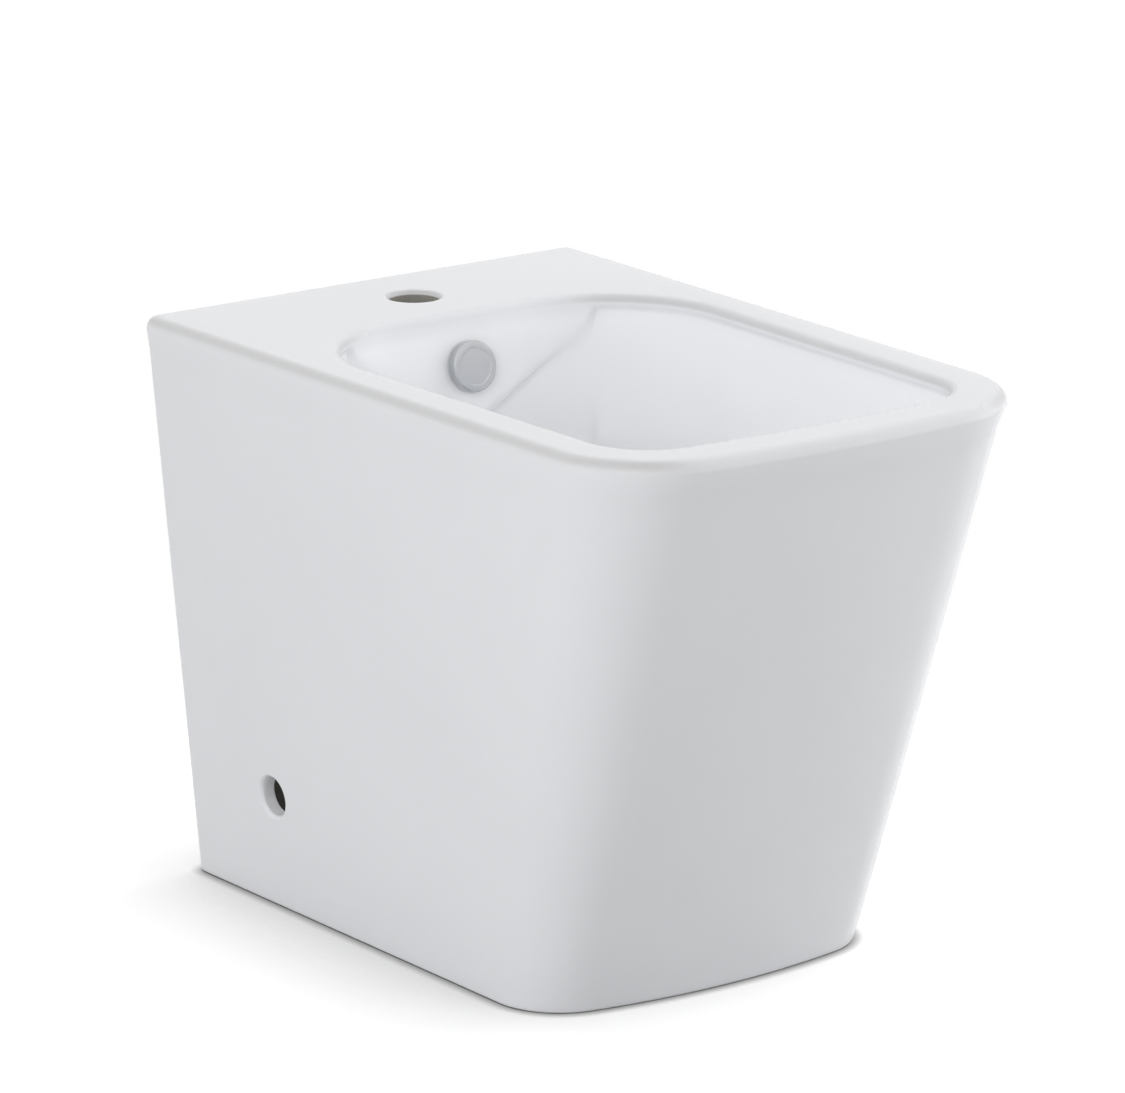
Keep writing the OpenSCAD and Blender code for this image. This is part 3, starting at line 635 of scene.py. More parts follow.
def casting():
    block = casting_block()
    skins = [SmoothSkin(block)]
    cutters = [hollow()]
    tap = turned("tap_hole", mouth(TAP_R, DECK_T + 3, TAP_MOUTH_R), 96, (0, TAP_Y, RIM_H))
    at, tilt = overflow_frame()
    overflow = turned("overflow_hole", mouth(OVERFLOW_R, WALL + 12, 0.5), 72, at, tilt)
    waste_profile = (
        [(0, BOSS_LOW_Z - 2), (WASTE_R + EASE, BOSS_LOW_Z - 2), (WASTE_R + EASE, BOSS_LOW_Z)]
        + arc(WASTE_R + EASE, BOSS_LOW_Z + EASE, EASE, -90, -180, 3)[1:]
        + [(WASTE_R, SEAT_Z - 1), (WASTE_R + 1, SEAT_Z), (RECESS_R, SEAT_Z)]
        + arc(RECESS_R + EASE, DRAIN_Z - EASE, EASE, 180, 90, 5)
        + [(RECESS_R + EASE, DRAIN_Z + 4), (0, DRAIN_Z + 4)]
    )
    waste = turned("waste_hole", waste_profile, 96, (0, DRAIN_Y, 0))
    cutters += [back_opening(), channel("channel", 0, 4), tap, side_hole(1), side_hole(-1)]
    cutters += [overflow, waste]
    for cutter in cutters:
        skins.append(SmoothSkin(cutter))
        boolean(block, cutter)
    restore_normals(block, skins)
    mark_glaze_and_painted_shading(block, [skins[1], skins[3]])
    return block


def painted_edge_shade(v):
    """How near a point lies to the line of painted shade on an edge of the rim or the tap hole, 0 to 1.
    The line runs in the middle of the rounding, and is faint where the edge faces forward or back."""
    by_tap = math.hypot(v.co.x / MM, v.co.y / MM - TAP_Y) < 2 * TAP_R
    outward = v.normal.x * v.co.x + v.normal.y * v.co.y > 0
    radius = TAP_MOUTH_R if by_tap else EDGE_R if outward else LIP_R
    rise = 1 - (RIM_H - v.co.z / MM) / radius
    if not 0 < rise < 1:
        return 0
    sideways = 1 if by_tap else abs(v.normal.x) / max(math.hypot(v.normal.x, v.normal.y), 1e-6)
    turn = math.asin(rise) / (math.pi / 2)
    if not (by_tap or outward):
        turn = math.sqrt(turn)
    return math.sin(math.pi * turn) ** 1.5 * mix(0.15, 1, smooth((sideways - 0.2) / 0.45))


def mark_glaze_and_painted_shading(obj, bare):
    """Writes how the glaze lies, with painted light and shade in the same numbers: none on the sole, in the
    hollow or in the tap hole's bore, one outside, and up to two in the bowl, where the rise is painted
    light.
    Painted shade lowers it on the roundings of the rim's edges and of the tap hole's mouth."""
    basin = loft("basin", bowl_rows())
    bowl = SmoothSkin(basin)
    bpy.data.objects.remove(basin)
    glaze_and_painted_shading = np.ones(len(obj.data.vertices), np.float32)
    for v in obj.data.vertices:
        height = v.co.z / MM
        from_tap = math.hypot(v.co.x / MM, v.co.y / MM - TAP_Y) - TAP_R
        in_tap = abs(from_tap) < ON_BORE and height < RIM_H - TAP_MOUTH_R
        from_side_hole = math.hypot(v.co.y / MM - SIDE_HOLE_Y, height - SIDE_HOLE_Z) - SIDE_HOLE_R
        if abs(from_side_hole) < ON_BORE:
            glaze_and_painted_shading[v.index] = BORE_GLAZE
        # The tap hole's bore is left bare, so the body's dark grey shows there as painted shade
        elif height < SOLE_H or in_tap:
            glaze_and_painted_shading[v.index] = 0
        elif any(skin.tree.find_nearest(v.co, ON_SKIN * MM)[0] for skin in bare):
            glaze_and_painted_shading[v.index] = 0
        elif bowl.tree.find_nearest(v.co, ON_SKIN * MM)[0]:
            # Painted light: the bowl's glaze turns whiter over the first part of its depth below the lip
            glaze_and_painted_shading[v.index] = 1 + smooth((LIP_Z - height) / BOWL_LIGHT_OVER)
        else:
            # Painted shade: a darker line along the roundings of the rim's edges and of the tap hole's
            # mouth
            glaze_and_painted_shading[v.index] = 1 - EDGE_PAINTED_SHADE * painted_edge_shade(v)
    attribute = obj.data.attributes.new("glaze_and_painted_shading", "FLOAT", "POINT")
    attribute.data.foreach_set("value", glaze_and_painted_shading)


# Node trees


def add(tree, kind, inputs=(), **settings):
    """Adds a node. Settings are its own properties, and inputs give each named socket a value or another
    node's output."""
    node = tree.nodes.new(kind)
    for key, value in settings.items():
        setattr(node, key, value)
    for key, value in dict(inputs).items():
        if isinstance(value, bpy.types.Node):
            value = value.outputs[0]
        if isinstance(value, bpy.types.NodeSocket):
            tree.links.new(value, node.inputs[key])
        else:
            node.inputs[key].default_value = value
    return node


def paint(code):
    """The linear colour of an sRGB hex value."""
    parts = [int(code[i : i + 2], 16) / 255 for i in (1, 3, 5)]
    return [p / 12.92 if p <= 0.04045 else ((p + 0.055) / 1.055) ** 2.4 for p in parts] + [1]


def finish(name, build):
    """A material whose nodes are added by build, which returns the shader."""
    material = bpy.data.materials.new(name)
    material.use_nodes = True
    tree = material.node_tree
    tree.nodes.clear()
    shader = build(tree)
    add(tree, "ShaderNodeOutputMaterial", {"Surface": shader})
    return material


def grain(tree, size, detail=2, stretch=None):
    """Noise on the object's own coordinates, with features about size millimetres across."""
    where = add(tree, "ShaderNodeTexCoord").outputs["Object"]
    if stretch:
        where = add(tree, "ShaderNodeMapping", {"Vector": where, "Scale": stretch})
    return add(tree, "ShaderNodeTexNoise", {"Vector": where, "Scale": 1 / (size * MM), "Detail": detail})


def between(tree, value, low, high):
    """A number that follows value, a noise of about 0.3 to 0.7, from low to high."""
    ends = {"From Min": 0.3, "From Max": 0.7, "To Min": low, "To Max": high}
    return add(tree, "ShaderNodeMapRange", {"Value": value, **ends})


def tint(tree, value, *colours):
    """The colour that lies between two, by value. Each is an sRGB hex value or another node's colour."""
    first, second = (paint(colour) if isinstance(colour, str) else colour for colour in colours)
    ends = {"Factor": value, 6: first, 7: second}
    return add(tree, "ShaderNodeMix", ends, data_type="RGBA").outputs[2]


def glazed_china(tree):
    # Vitreous china under a cool white glaze: a clear glossy skin over a matt body. The glaze flows a
    # little as it fires, so it has a soft orange peel of some 9 mm. In the bowl the glaze is painted
    # whiter, as painted light, and where there is none the body is a dull grey buff, darker than the real
    # body as painted shade in the tap hole and the hollow.
    peel, cloud, pores = grain(tree, 9), grain(tree, 140, 3), grain(tree, 1.2, 4)
    coats_and_painted_shading = add(tree, "ShaderNodeAttribute", attribute_name="glaze_and_painted_shading").outputs["Fac"]
    glaze_and_painted_shading = add(tree, "ShaderNodeClamp", {"Value": coats_and_painted_shading})
    painted_light_raw = add(tree, "ShaderNodeMath", {0: coats_and_painted_shading, 1: 1.0}, operation="SUBTRACT")
    deep = add(tree, "ShaderNodeClamp", {"Value": painted_light_raw})
    plain_white = tint(tree, between(tree, cloud, 0, 1), "#EFF0F3", "#EDEEF1")
    # Painted light: the glaze is whiter in the bowl, by how far the value rises above one
    white = tint(tree, deep, plain_white, "#F8F9FB")
    # The bare body's grey is darker than real china body: painted shade in the tap hole and the hollow
    body = tint(tree, between(tree, pores, 0, 1), "#A6A39C", "#918E87")
    # Where the value dips on the roundings, the colour turns toward the body's grey as painted shade
    colour = tint(tree, glaze_and_painted_shading, body, white)
    gloss = between(tree, cloud, 0.20, 0.26)
    rough = add(tree, "ShaderNodeMix", {"Factor": glaze_and_painted_shading, "A": 0.75, "B": gloss})
    flow = add(tree, "ShaderNodeBump", {"Height": peel, "Distance": 0.02 * MM, "Strength": 0.6})
    matt = add(tree, "ShaderNodeBump", {"Height": pores, "Distance": 0.05 * MM, "Strength": 0.5})
    facing = {"Factor": glaze_and_painted_shading, 4: matt.outputs[0], 5: flow.outputs[0]}
    normal = add(tree, "ShaderNodeMix", facing, data_type="VECTOR").outputs[1]
    look = {"Base Color": colour, "Roughness": rough, "Normal": normal, "IOR": 1.42}
    return add(tree, "ShaderNodeBsdfPrincipled", look)


def satin_chrome(tree):
    # Satin chromium plated on brass: a cold grey, a shade darker than silver, whose reflections are
    # soft, with faint polishing marks.
    marks, film = grain(tree, 2.5, 3), grain(tree, 18, 2)
    colour = tint(tree, between(tree, film, 0, 1), "#C9CACD", "#C1C3C6")
    bump = add(tree, "ShaderNodeBump", {"Height": marks, "Distance": 0.002 * MM, "Strength": 0.4})
    rough = between(tree, film, 0.20, 0.25)
    look = {"Base Color": colour, "Metallic": 1, "Roughness": rough, "Normal": bump}
    return add(tree, "ShaderNodeBsdfPrincipled", look)


def turned_brass(tree):
    # Free-cutting brass left as turned: warm yellow, with fine rings from the tool about 0.4 mm apart.
    rings, film = grain(tree, 0.8, 2, stretch=(0.15, 0.15, 2)), grain(tree, 12, 3)
    colour = tint(tree, between(tree, film, 0, 1), "#CDAE6E", "#B59457")
    bump = add(tree, "ShaderNodeBump", {"Height": rings, "Distance": 0.02 * MM, "Strength": 0.5})
    rough = between(tree, film, 0.28, 0.42)
    look = {"Base Color": colour, "Metallic": 1, "Roughness": rough, "Normal": bump}
    return add(tree, "ShaderNodeBsdfPrincipled", look)


def moulded_rubber(tree):
    # EPDM rubber, pressed in a mould: near black and dull, with a bloom that greys it in patches.
    bloom, texture = grain(tree, 8, 4), grain(tree, 0.6, 2)
    colour = tint(tree, between(tree, bloom, 0, 1), "#26272A", "#35363A")
    bump = add(tree, "ShaderNodeBump", {"Height": texture, "Distance": 0.03 * MM, "Strength": 0.5})
    look = {"Base Color": colour, "Roughness": between(tree, bloom, 0.5, 0.7), "Normal": bump}
    return add(tree, "ShaderNodeBsdfPrincipled", look)


def moulded_plastic(first, second, smoothness):
    # Injection-moulded polypropylene, nylon or acetal: a waxy half-gloss with a fine spark-eroded texture.
    def build(tree):
        flow, texture = grain(tree, 15, 2), grain(tree, 0.5, 2)
        colour = tint(tree, between(tree, flow, 0, 1), first, second)
        bump = add(tree, "ShaderNodeBump", {"Height": texture, "Distance": 0.015 * MM, "Strength": 0.5})
        rough = between(tree, flow, smoothness, smoothness + 0.12)
        look = {"Base Color": colour, "Roughness": rough, "IOR": 1.48, "Normal": bump}
        return add(tree, "ShaderNodeBsdfPrincipled", look)

    return build


def drawn_wire(tree):
    # Stainless spring wire, drawn through a die: bright, with faint marks of about 1 mm.
    marks = grain(tree, 1.0, 3)
    colour = tint(tree, between(tree, marks, 0, 1), "#BDBCB8", "#A9A8A4")
    look = {"Base Color": colour, "Metallic": 1, "Roughness": between(tree, marks, 0.22, 0.34)}
    return add(tree, "ShaderNodeBsdfPrincipled", look)


CHINA = finish("glazed_vitreous_china", glazed_china)
CHROME = finish("satin_chrome_plate", satin_chrome)
BRASS = finish("turned_brass", turned_brass)
RUBBER = finish("moulded_epdm_rubber", moulded_rubber)
INSERT_PLASTIC = finish("moulded_white_polypropylene", moulded_plastic("#E4E5E4", "#DADBD9", 0.34))
WASHER_PLASTIC = finish("moulded_natural_nylon", moulded_plastic("#E9E6DC", "#DFDBCF", 0.42))
LATCH_PLASTIC = finish("moulded_grey_acetal", moulded_plastic("#C9CBCC", "#BEC0C2", 0.30))
WIRE = finish("drawn_spring_steel", drawn_wire)


# Trees of Geometry Nodes for what is wound or repeated


def tree_of(name, sockets):
    """A tree with a named input for each size, in metres. Returns it and its input node."""
    tree = bpy.data.node_groups.new(name, "GeometryNodeTree")
    for title, (kind, value) in sockets.items():
        socket = tree.interface.new_socket(title, in_out="INPUT", socket_type="NodeSocket" + kind)
        if value is not None:
            socket.default_value = value
    tree.interface.new_socket("Finish", in_out="INPUT", socket_type="NodeSocketMaterial")
    tree.interface.new_socket("Mesh", in_out="OUTPUT", socket_type="NodeSocketGeometry")
    return tree, tree.nodes.new("NodeGroupInput").outputs


def end_tree(tree, geometry, given):
    """Every tree ends in real mesh with its finish on it."""
    real = add(tree, "GeometryNodeRealizeInstances", {"Geometry": geometry})
    done = add(tree, "GeometryNodeSetMaterial", {"Geometry": real, "Material": given["Finish"]})
    add(tree, "NodeGroupOutput", {"Mesh": done})


def wound_wire():
    """A wire wound on a helix, with its end turns closed. The section may be drawn out to a ridge."""
    tree, given = tree_of(
        "wound_wire",
        {
            "Turns": ("Float", 9.0),
            "Closed Turns": ("Float", 1.0),
            "Steps per Turn": ("Int", 48),
            "Coil Radius": ("Float", 0.004),
            "Height": ("Float", 0.03),
            "Wire Width": ("Float", 0.001),
            "Wire Depth": ("Float", 0.001),
            "Sides": ("Int", 12),
            "Base Height": ("Float", 0.0),
        },
    )
    turns, steps = given["Turns"], given["Steps per Turn"]
    count = add(tree, "ShaderNodeMath", {0: turns, 1: steps}, operation="MULTIPLY")
    points = add(tree, "ShaderNodeMath", {0: count, 1: 1.0}, operation="ADD")
    line = add(tree, "GeometryNodeMeshLine", {"Count": points})
    index = add(tree, "GeometryNodeInputIndex")
    turn = add(tree, "ShaderNodeMath", {0: index, 1: steps}, operation="DIVIDE")
    angle = add(tree, "ShaderNodeMath", {0: turn, 1: 2 * math.pi}, operation="MULTIPLY")
    ends = given["Closed Turns"]
    last = add(tree, "ShaderNodeMath", {0: turns, 1: ends}, operation="SUBTRACT")
    closed = add(tree, "ShaderNodeMath", {0: ends, 1: given["Wire Width"]}, operation="MULTIPLY")
    both_ends = add(tree, "ShaderNodeMath", {0: closed, 1: 2.0}, operation="MULTIPLY")
    open_height = add(tree, "ShaderNodeMath", {0: given["Height"], 1: both_ends}, operation="SUBTRACT")
    z = given["Base Height"]
    for start, end, rise in ((0.0, ends, closed), (ends, last, open_height), (last, turns, closed)):
        stretch = {"Value": turn, "From Min": start, "From Max": end, "To Min": 0.0, "To Max": rise}
        part = add(tree, "ShaderNodeMapRange", stretch)
        z = add(tree, "ShaderNodeMath", {0: z, 1: part}, operation="ADD")
    place = {"Z": z}
    for axis, wave in (("X", "COSINE"), ("Y", "SINE")):
        swing = add(tree, "ShaderNodeMath", {0: angle}, operation=wave)
        place[axis] = add(tree, "ShaderNodeMath", {0: swing, 1: given["Coil Radius"]}, operation="MULTIPLY")
    position = add(tree, "ShaderNodeCombineXYZ", place)
    helix = add(tree, "GeometryNodeSetPosition", {"Geometry": line, "Position": position})
    curve = add(tree, "GeometryNodeMeshToCurve", {"Mesh": helix})
    upright = add(tree, "GeometryNodeSetCurveNormal", {"Curve": curve}, mode="Z_UP")
    section = add(tree, "GeometryNodeCurvePrimitiveCircle", {"Resolution": given["Sides"], "Radius": 0.5})
    size = add(tree, "ShaderNodeCombineXYZ", {"X": given["Wire Depth"], "Y": given["Wire Width"], "Z": 1.0})
    shaped = add(tree, "GeometryNodeTransform", {"Geometry": section, "Scale": size})
    sweep = {"Curve": upright, "Profile Curve": shaped, "Fill Caps": True}
    end_tree(tree, add(tree, "GeometryNodeCurveToMesh", sweep), given)
    return tree


def ring_of_ribs():
    """Upright ribs set at equal angles round an axis."""
    tree, given = tree_of(
        "ring_of_ribs",
        {
            "Count": ("Int", 4),
            "Ring Radius": ("Float", 0.01),
            "Rib Radius": ("Float", 0.001),
            "Rib Sides": ("Int", 16),
            "Height": ("Float", 0.004),
            "Base Height": ("Float", 0.0),
        },
    )
    circle = {"Vertices": given["Count"], "Radius": given["Ring Radius"]}
    ring = add(tree, "GeometryNodeMeshCircle", circle)
    shape = {"Vertices": given["Rib Sides"], "Radius": given["Rib Radius"], "Depth": given["Height"]}
    rib = add(tree, "GeometryNodeMeshCylinder", shape)
    half = {0: given["Height"], 1: 0.5, 2: given["Base Height"]}
    middle = add(tree, "ShaderNodeMath", half, operation="MULTIPLY_ADD")
    lift = add(tree, "ShaderNodeCombineXYZ", {"Z": middle})
    raised = add(tree, "GeometryNodeTransform", {"Geometry": rib.outputs["Mesh"], "Translation": lift})
    spread = add(tree, "GeometryNodeInstanceOnPoints", {"Points": ring, "Instance": raised})
    end_tree(tree, spread.outputs[0], given)
    return tree


WOUND, RIBS = wound_wire(), ring_of_ribs()


def grown(name, tree, material, **sizes):
    """The plain mesh that a tree gives for these sizes. Sizes follow the tree's input names."""
    obj = new_object(name, [], [])
    mod = obj.modifiers.new("grow", "NODES")
    mod.node_group = tree
    values = {key.replace("_", " ").title().replace("Per", "per"): v for key, v in sizes.items()}
    for item in tree.interface.items_tree:
        if item.in_out == "INPUT" and item.name in values:
            mod[item.identifier] = values.pop(item.name)
        elif item.in_out == "INPUT" and item.name == "Finish":
            mod[item.identifier] = material
    assert not values, values
    settle(obj)
    return obj


def weld(obj, gap=1e-6):
    """Joins points that lie together, so that a swept mesh is closed."""
    mesh = bmesh.new()
    mesh.from_mesh(obj.data)
    bmesh.ops.remove_doubles(mesh, verts=mesh.verts, dist=gap)
    bmesh.ops.recalc_face_normals(mesh, faces=mesh.faces)
    mesh.to_mesh(obj.data)
    mesh.free()


# The trim, the waste and the latch


def bar(name, length, width, low, high, corner, along):
    """A bar through the axis, from low to high, whose long edges are rounded."""
    side = width / 2
    section = rounded([(-side, low), (side, low), (side, high), (-side, high)], corner, steps=5)
    rings = [[(x, y, z) for y, z in section] for x in (-length / 2, length / 2)]
    obj = loft(name, rings)
    return placed(obj, tilt=Matrix.Rotation(math.pi / 2, 4, "Z")) if along == "Y" else obj


def overflow_cap():
    """A shallow turned cup on four posts, with a split collar that clips into the sleeve."""
    inner_r, roof = CAP_R - CAP_SHELL, CAP_H - CAP_ROOF
    cup = turned(
        "overflow_cap",
        [(0, roof), (inner_r - 0.5, roof), (inner_r, roof - 0.5), (inner_r, CAP_GAP + 0.2)]
        + [(inner_r + 0.2, CAP_GAP), (CAP_R - 0.2, CAP_GAP), (CAP_R, CAP_GAP + 0.2)]
        + arc(inner_r, CAP_H - CAP_SHELL, CAP_SHELL, 0, 90, 10)
        + [(CAP_DISH_R, CAP_H), (CAP_DISH_R - 0.4, CAP_H - 0.02), (CAP_DISH_R - 0.9, CAP_H - 0.13)]
        + [(CAP_DISH_R - 1.3, CAP_H - 0.16), (CAP_DISH_R - 1.7, CAP_H - 0.16), (0, CAP_H - 0.16)],
        128,
    )
    posts = grown(
        "posts",
        RIBS,
        CHROME,
        count=4,
        ring_radius=POST_RING_R * MM,
        rib_radius=POST_R * MM,
        height=(roof - INSERT_FACE + 0.2) * MM,
        base_height=INSERT_FACE * MM,
    )
    weld(posts)
    boolean(cup, posts, "UNION")
    collar_r = INSERT_BORE_R - FIT
    collar = band("collar", collar_r - CAP_SHELL, collar_r, COLLAR_LOW, roof + 0.1, 0.3)
    for along in "XY":
        slit = bar("slit", 2 * CAP_R + 1, SLIT_W, COLLAR_LOW - 2, SLIT_TOP, 0.8, along)
        placed(slit, tilt=Matrix.Rotation(math.pi / 4, 4, "Z"))
        boolean(collar, slit)
    boolean(cup, collar, "UNION")
    return cup


def overflow_insert():
    """The sleeve in the overflow hole, with three ridges that hold it."""
    proud_r = INSERT_R + INSERT_RIDGE
    points = [(INSERT_BORE_R, -INSERT_LEN), (INSERT_R, -INSERT_LEN)]
    for low in (-12.0, -8.0, -4.0):
        points += [(INSERT_R, low), (proud_r, low + 0.4), (proud_r, low + 0.8), (INSERT_R, low + 1.2)]
    points += [(INSERT_R, OVERFLOW_SEAL_T), (INSERT_FLANGE_R, OVERFLOW_SEAL_T)]
    points += [(INSERT_FLANGE_R, INSERT_FACE), (INSERT_BORE_R, INSERT_FACE)]
    return turned("overflow_insert", rounded(points, 0.3))


def overflow_seal():
    return band("overflow_seal", INSERT_R + FIT, INSERT_FLANGE_R - FIT, 0, OVERFLOW_SEAL_T, 0.4)


def waste_body():
    """The slotted waste: a dished flange on a threaded tube with two windows, and a hub on four arms."""
    tube_r = BODY_R - THREAD_DEPTH
    profile = [
        (BODY_BORE_R, BODY_LOW_Z, 0.3),
        (tube_r, BODY_LOW_Z, 0.5),
        (tube_r, FLANGE_LOW_Z - 2, 0),
        (BODY_R, FLANGE_LOW_Z - 1.6, 0),
        (BODY_R, FLANGE_LOW_Z, 0),
        (FLANGE_R, FLANGE_LOW_Z, 0.4),
        (FLANGE_R, FLANGE_TOP_Z, 1),
        (FLANGE_R - 5, FLANGE_TOP_Z, 2),
        (BODY_BORE_R + 1.5, FLANGE_LOW_Z + 0.8, 1.5),
        (BODY_BORE_R, FLANGE_LOW_Z - 0.7, 1),
    ]
    body = turned("waste_body", rounded(profile, 0, 6), 128)
    thread = grown(
        "thread",
        WOUND,
        CHROME,
        turns=float(THREAD_TURNS),
        closed_turns=0.0,
        steps_per_turn=64,
        coil_radius=tube_r * MM,
        height=THREAD_H * MM,
        wire_width=THREAD_W * MM,
        wire_depth=2 * THREAD_DEPTH * MM,
        sides=4,
        base_height=(BODY_LOW_Z + 1.3) * MM,
    )
    weld(thread)
    boolean(body, thread, "UNION")
    low, high = CHANNEL_END_Z - WINDOW_H / 2, CHANNEL_END_Z + WINDOW_H / 2
    boolean(body, bar("windows", 2 * FLANGE_R - 5, WINDOW_W, low, high, 2.5, "Y"))
    hub_r, eye_r = CARTRIDGE_R + HUB_WALL, CARTRIDGE_R + FIT
    section = [(0, HUB_LOW_Z, 0), (hub_r, HUB_LOW_Z), (hub_r, HUB_TOP_Z), (0, HUB_TOP_Z, 0)]
    hub = turned("hub", rounded(section, 0.5), 64)
    for along in "XY":
        boolean(hub, bar("arm", ARM_LEN, ARM_W, HUB_LOW_Z, HUB_TOP_Z, 0.5, along), "UNION")
    boolean(hub, drill("eye", eye_r, HUB_LOW_Z - 7, HUB_TOP_Z + 3, 64))
    boolean(body, hub, "UNION")
    return body


def flange_gasket():
    return band("flange_gasket", NUT_BORE_R, FLANGE_R - 1, SEAT_Z, FLANGE_LOW_Z, 0.4)


def cone_gasket():
    """The tapered rubber, with a spigot that fills the hole."""
    top_z = BOSS_LOW_Z + CONE_SPIGOT_H
    points = [(NUT_BORE_R, CONE_LOW_Z), (CONE_LOW_R, CONE_LOW_Z), (CONE_R, BOSS_LOW_Z - 3)]
    points += [(CONE_R, BOSS_LOW_Z), (WASTE_R - FIT, BOSS_LOW_Z), (WASTE_R - 0.9, top_z)]
    points += [(NUT_BORE_R, top_z)]
    return turned("cone_gasket", rounded(points, 0.8))


def slip_washer():
    return band("slip_washer", NUT_BORE_R, WASHER_R, WASHER_LOW_Z, CONE_LOW_Z, 0.3)


def back_nut():
    """A six-sided nut, chamfered below and bored through."""
    corner_r = round(NUT_AF / math.sqrt(3), 2)
    turns = np.radians(np.arange(0, 360, 60))
    plan = rounded([(corner_r * math.cos(a), corner_r * math.sin(a)) for a in turns], 1.2, 4)
    nut = loft("back_nut", [[(x, y, z) for x, y in plan] for z in (NUT_LOW_Z, WASHER_LOW_Z)])
    flat_r, wide_r, over_z = NUT_AF / 2, corner_r + 0.12, WASHER_LOW_Z + 0.1
    dome = [(0, NUT_LOW_Z), (flat_r, NUT_LOW_Z), (flat_r + 1.6, NUT_LOW_Z + 0.5), (wide_r, NUT_LOW_Z + 2.1)]
    dome += [(wide_r, over_z - 0.6), (wide_r - 0.5, over_z), (0, over_z)]
    boolean(nut, turned("chamfer", dome, 128), "INTERSECT")
    boolean(nut, drill("bore", NUT_BORE_R, NUT_LOW_Z - 5, WASHER_LOW_Z + 5))
    wide_r, under_z = NUT_BORE_R + 1.15, NUT_LOW_Z - 0.7
    lead = [(0, under_z), (wide_r, under_z), (wide_r, NUT_LOW_Z - 0.1)]
    lead += [(wide_r - 1.2, NUT_LOW_Z + 1.1), (0, NUT_LOW_Z + 1.1)]
    boolean(nut, turned("lead", lead))
    return nut


def tail_seal():
    return band("tail_seal", BODY_BORE_R, BODY_R - FIT, SHOULDER_TOP_Z, BODY_LOW_Z, 0.4)


def tailpiece():
    """The tube that the trap takes, with a ribbed shoulder to turn it by."""
    bore_r, spigot_r = TAIL_R - TAIL_WALL, BODY_BORE_R - FIT
    low_z, top_z = SHOULDER_LOW_Z - TAIL_LEN, BODY_LOW_Z + SPIGOT_LEN
    points = [
        (bore_r, low_z, 0.4),
        (TAIL_R, low_z, 0.6),
        (TAIL_R, SHOULDER_LOW_Z, 1.2),
        (SHOULDER_R, SHOULDER_LOW_Z, 0.5),
        (SHOULDER_R, SHOULDER_TOP_Z, 0.3),
        (spigot_r, SHOULDER_TOP_Z, 0.3),
        (spigot_r, top_z, 0.6),
        (bore_r, top_z, 0.4),
    ]
    tube = turned("tailpiece", rounded(points, 0), 128)
    grip = grown(
        "grip",
        RIBS,
        CHROME,
        count=72,
        ring_radius=(SHOULDER_R - 0.05) * MM,
        rib_radius=0.5 * MM,
        rib_sides=8,
        height=(SHOULDER_T - 0.8) * MM,
        base_height=(SHOULDER_LOW_Z + 0.4) * MM,
    )
    weld(grip)
    boolean(tube, grip, "UNION")
    return tube


def latch_cartridge():
    """The latch's sleeve, with a collar that rests on the hub and a neck round the stem."""
    collar_r, collar_top_z = CARTRIDGE_R + COLLAR_W, HUB_TOP_Z + COLLAR_T
    low_z, top_z = SPRING_LOW_Z - CARTRIDGE_END_T, PISTON_TOP_Z + CARTRIDGE_END_T
    points = [
        (0, low_z, 0),
        (CARTRIDGE_R, low_z, 1),
        (CARTRIDGE_R, HUB_TOP_Z, 0.2),
        (collar_r, HUB_TOP_Z, 0.4),
        (collar_r, collar_top_z, 0.4),
        (CARTRIDGE_R, collar_top_z, 0.2),
        (CARTRIDGE_R, top_z, 0.8),
        (STEM_R + FIT, top_z, 0.3),
        (STEM_R + FIT, PISTON_TOP_Z, 0),
        (CARTRIDGE_BORE_R, PISTON_TOP_Z, 0),
        (CARTRIDGE_BORE_R, SPRING_LOW_Z, 0),
        (0, SPRING_LOW_Z, 0),
    ]
    return turned("latch_cartridge", rounded(points, 0), 64)


def latch_spring():
    """The compression spring, with its end turns closed."""
    spring = grown(
        "latch_spring",
        WOUND,
        WIRE,
        turns=float(SPRING_TURNS),
        closed_turns=1.0,
        steps_per_turn=48,
        coil_radius=(CARTRIDGE_BORE_R - WIRE_D / 2 - 0.3) * MM,
        height=(SPRING_H - WIRE_D - 0.2) * MM,
        wire_width=WIRE_D * MM,
        wire_depth=WIRE_D * MM,
        sides=12,
        base_height=(SPRING_LOW_Z + WIRE_D / 2 + 0.1) * MM,
    )
    weld(spring)
    return spring


def plug_stem():
    """The plug's stem, on a piston that the spring lifts."""
    piston_r = CARTRIDGE_BORE_R - FIT
    points = [(0, PISTON_LOW_Z, 0), (piston_r, PISTON_LOW_Z), (piston_r, PISTON_TOP_Z)]
    points += [(STEM_R, PISTON_TOP_Z), (STEM_R, STEM_TOP_Z, 0), (0, STEM_TOP_Z, 0)]
    return turned("plug_stem", rounded(points, 0.3), 64)


def plug_seal():
    return band("plug_seal", SKIRT_R + FIT, PLUG_SEAL_R, PLUG_LOW_Z - PLUG_SEAL_T, PLUG_LOW_Z, 0.9)


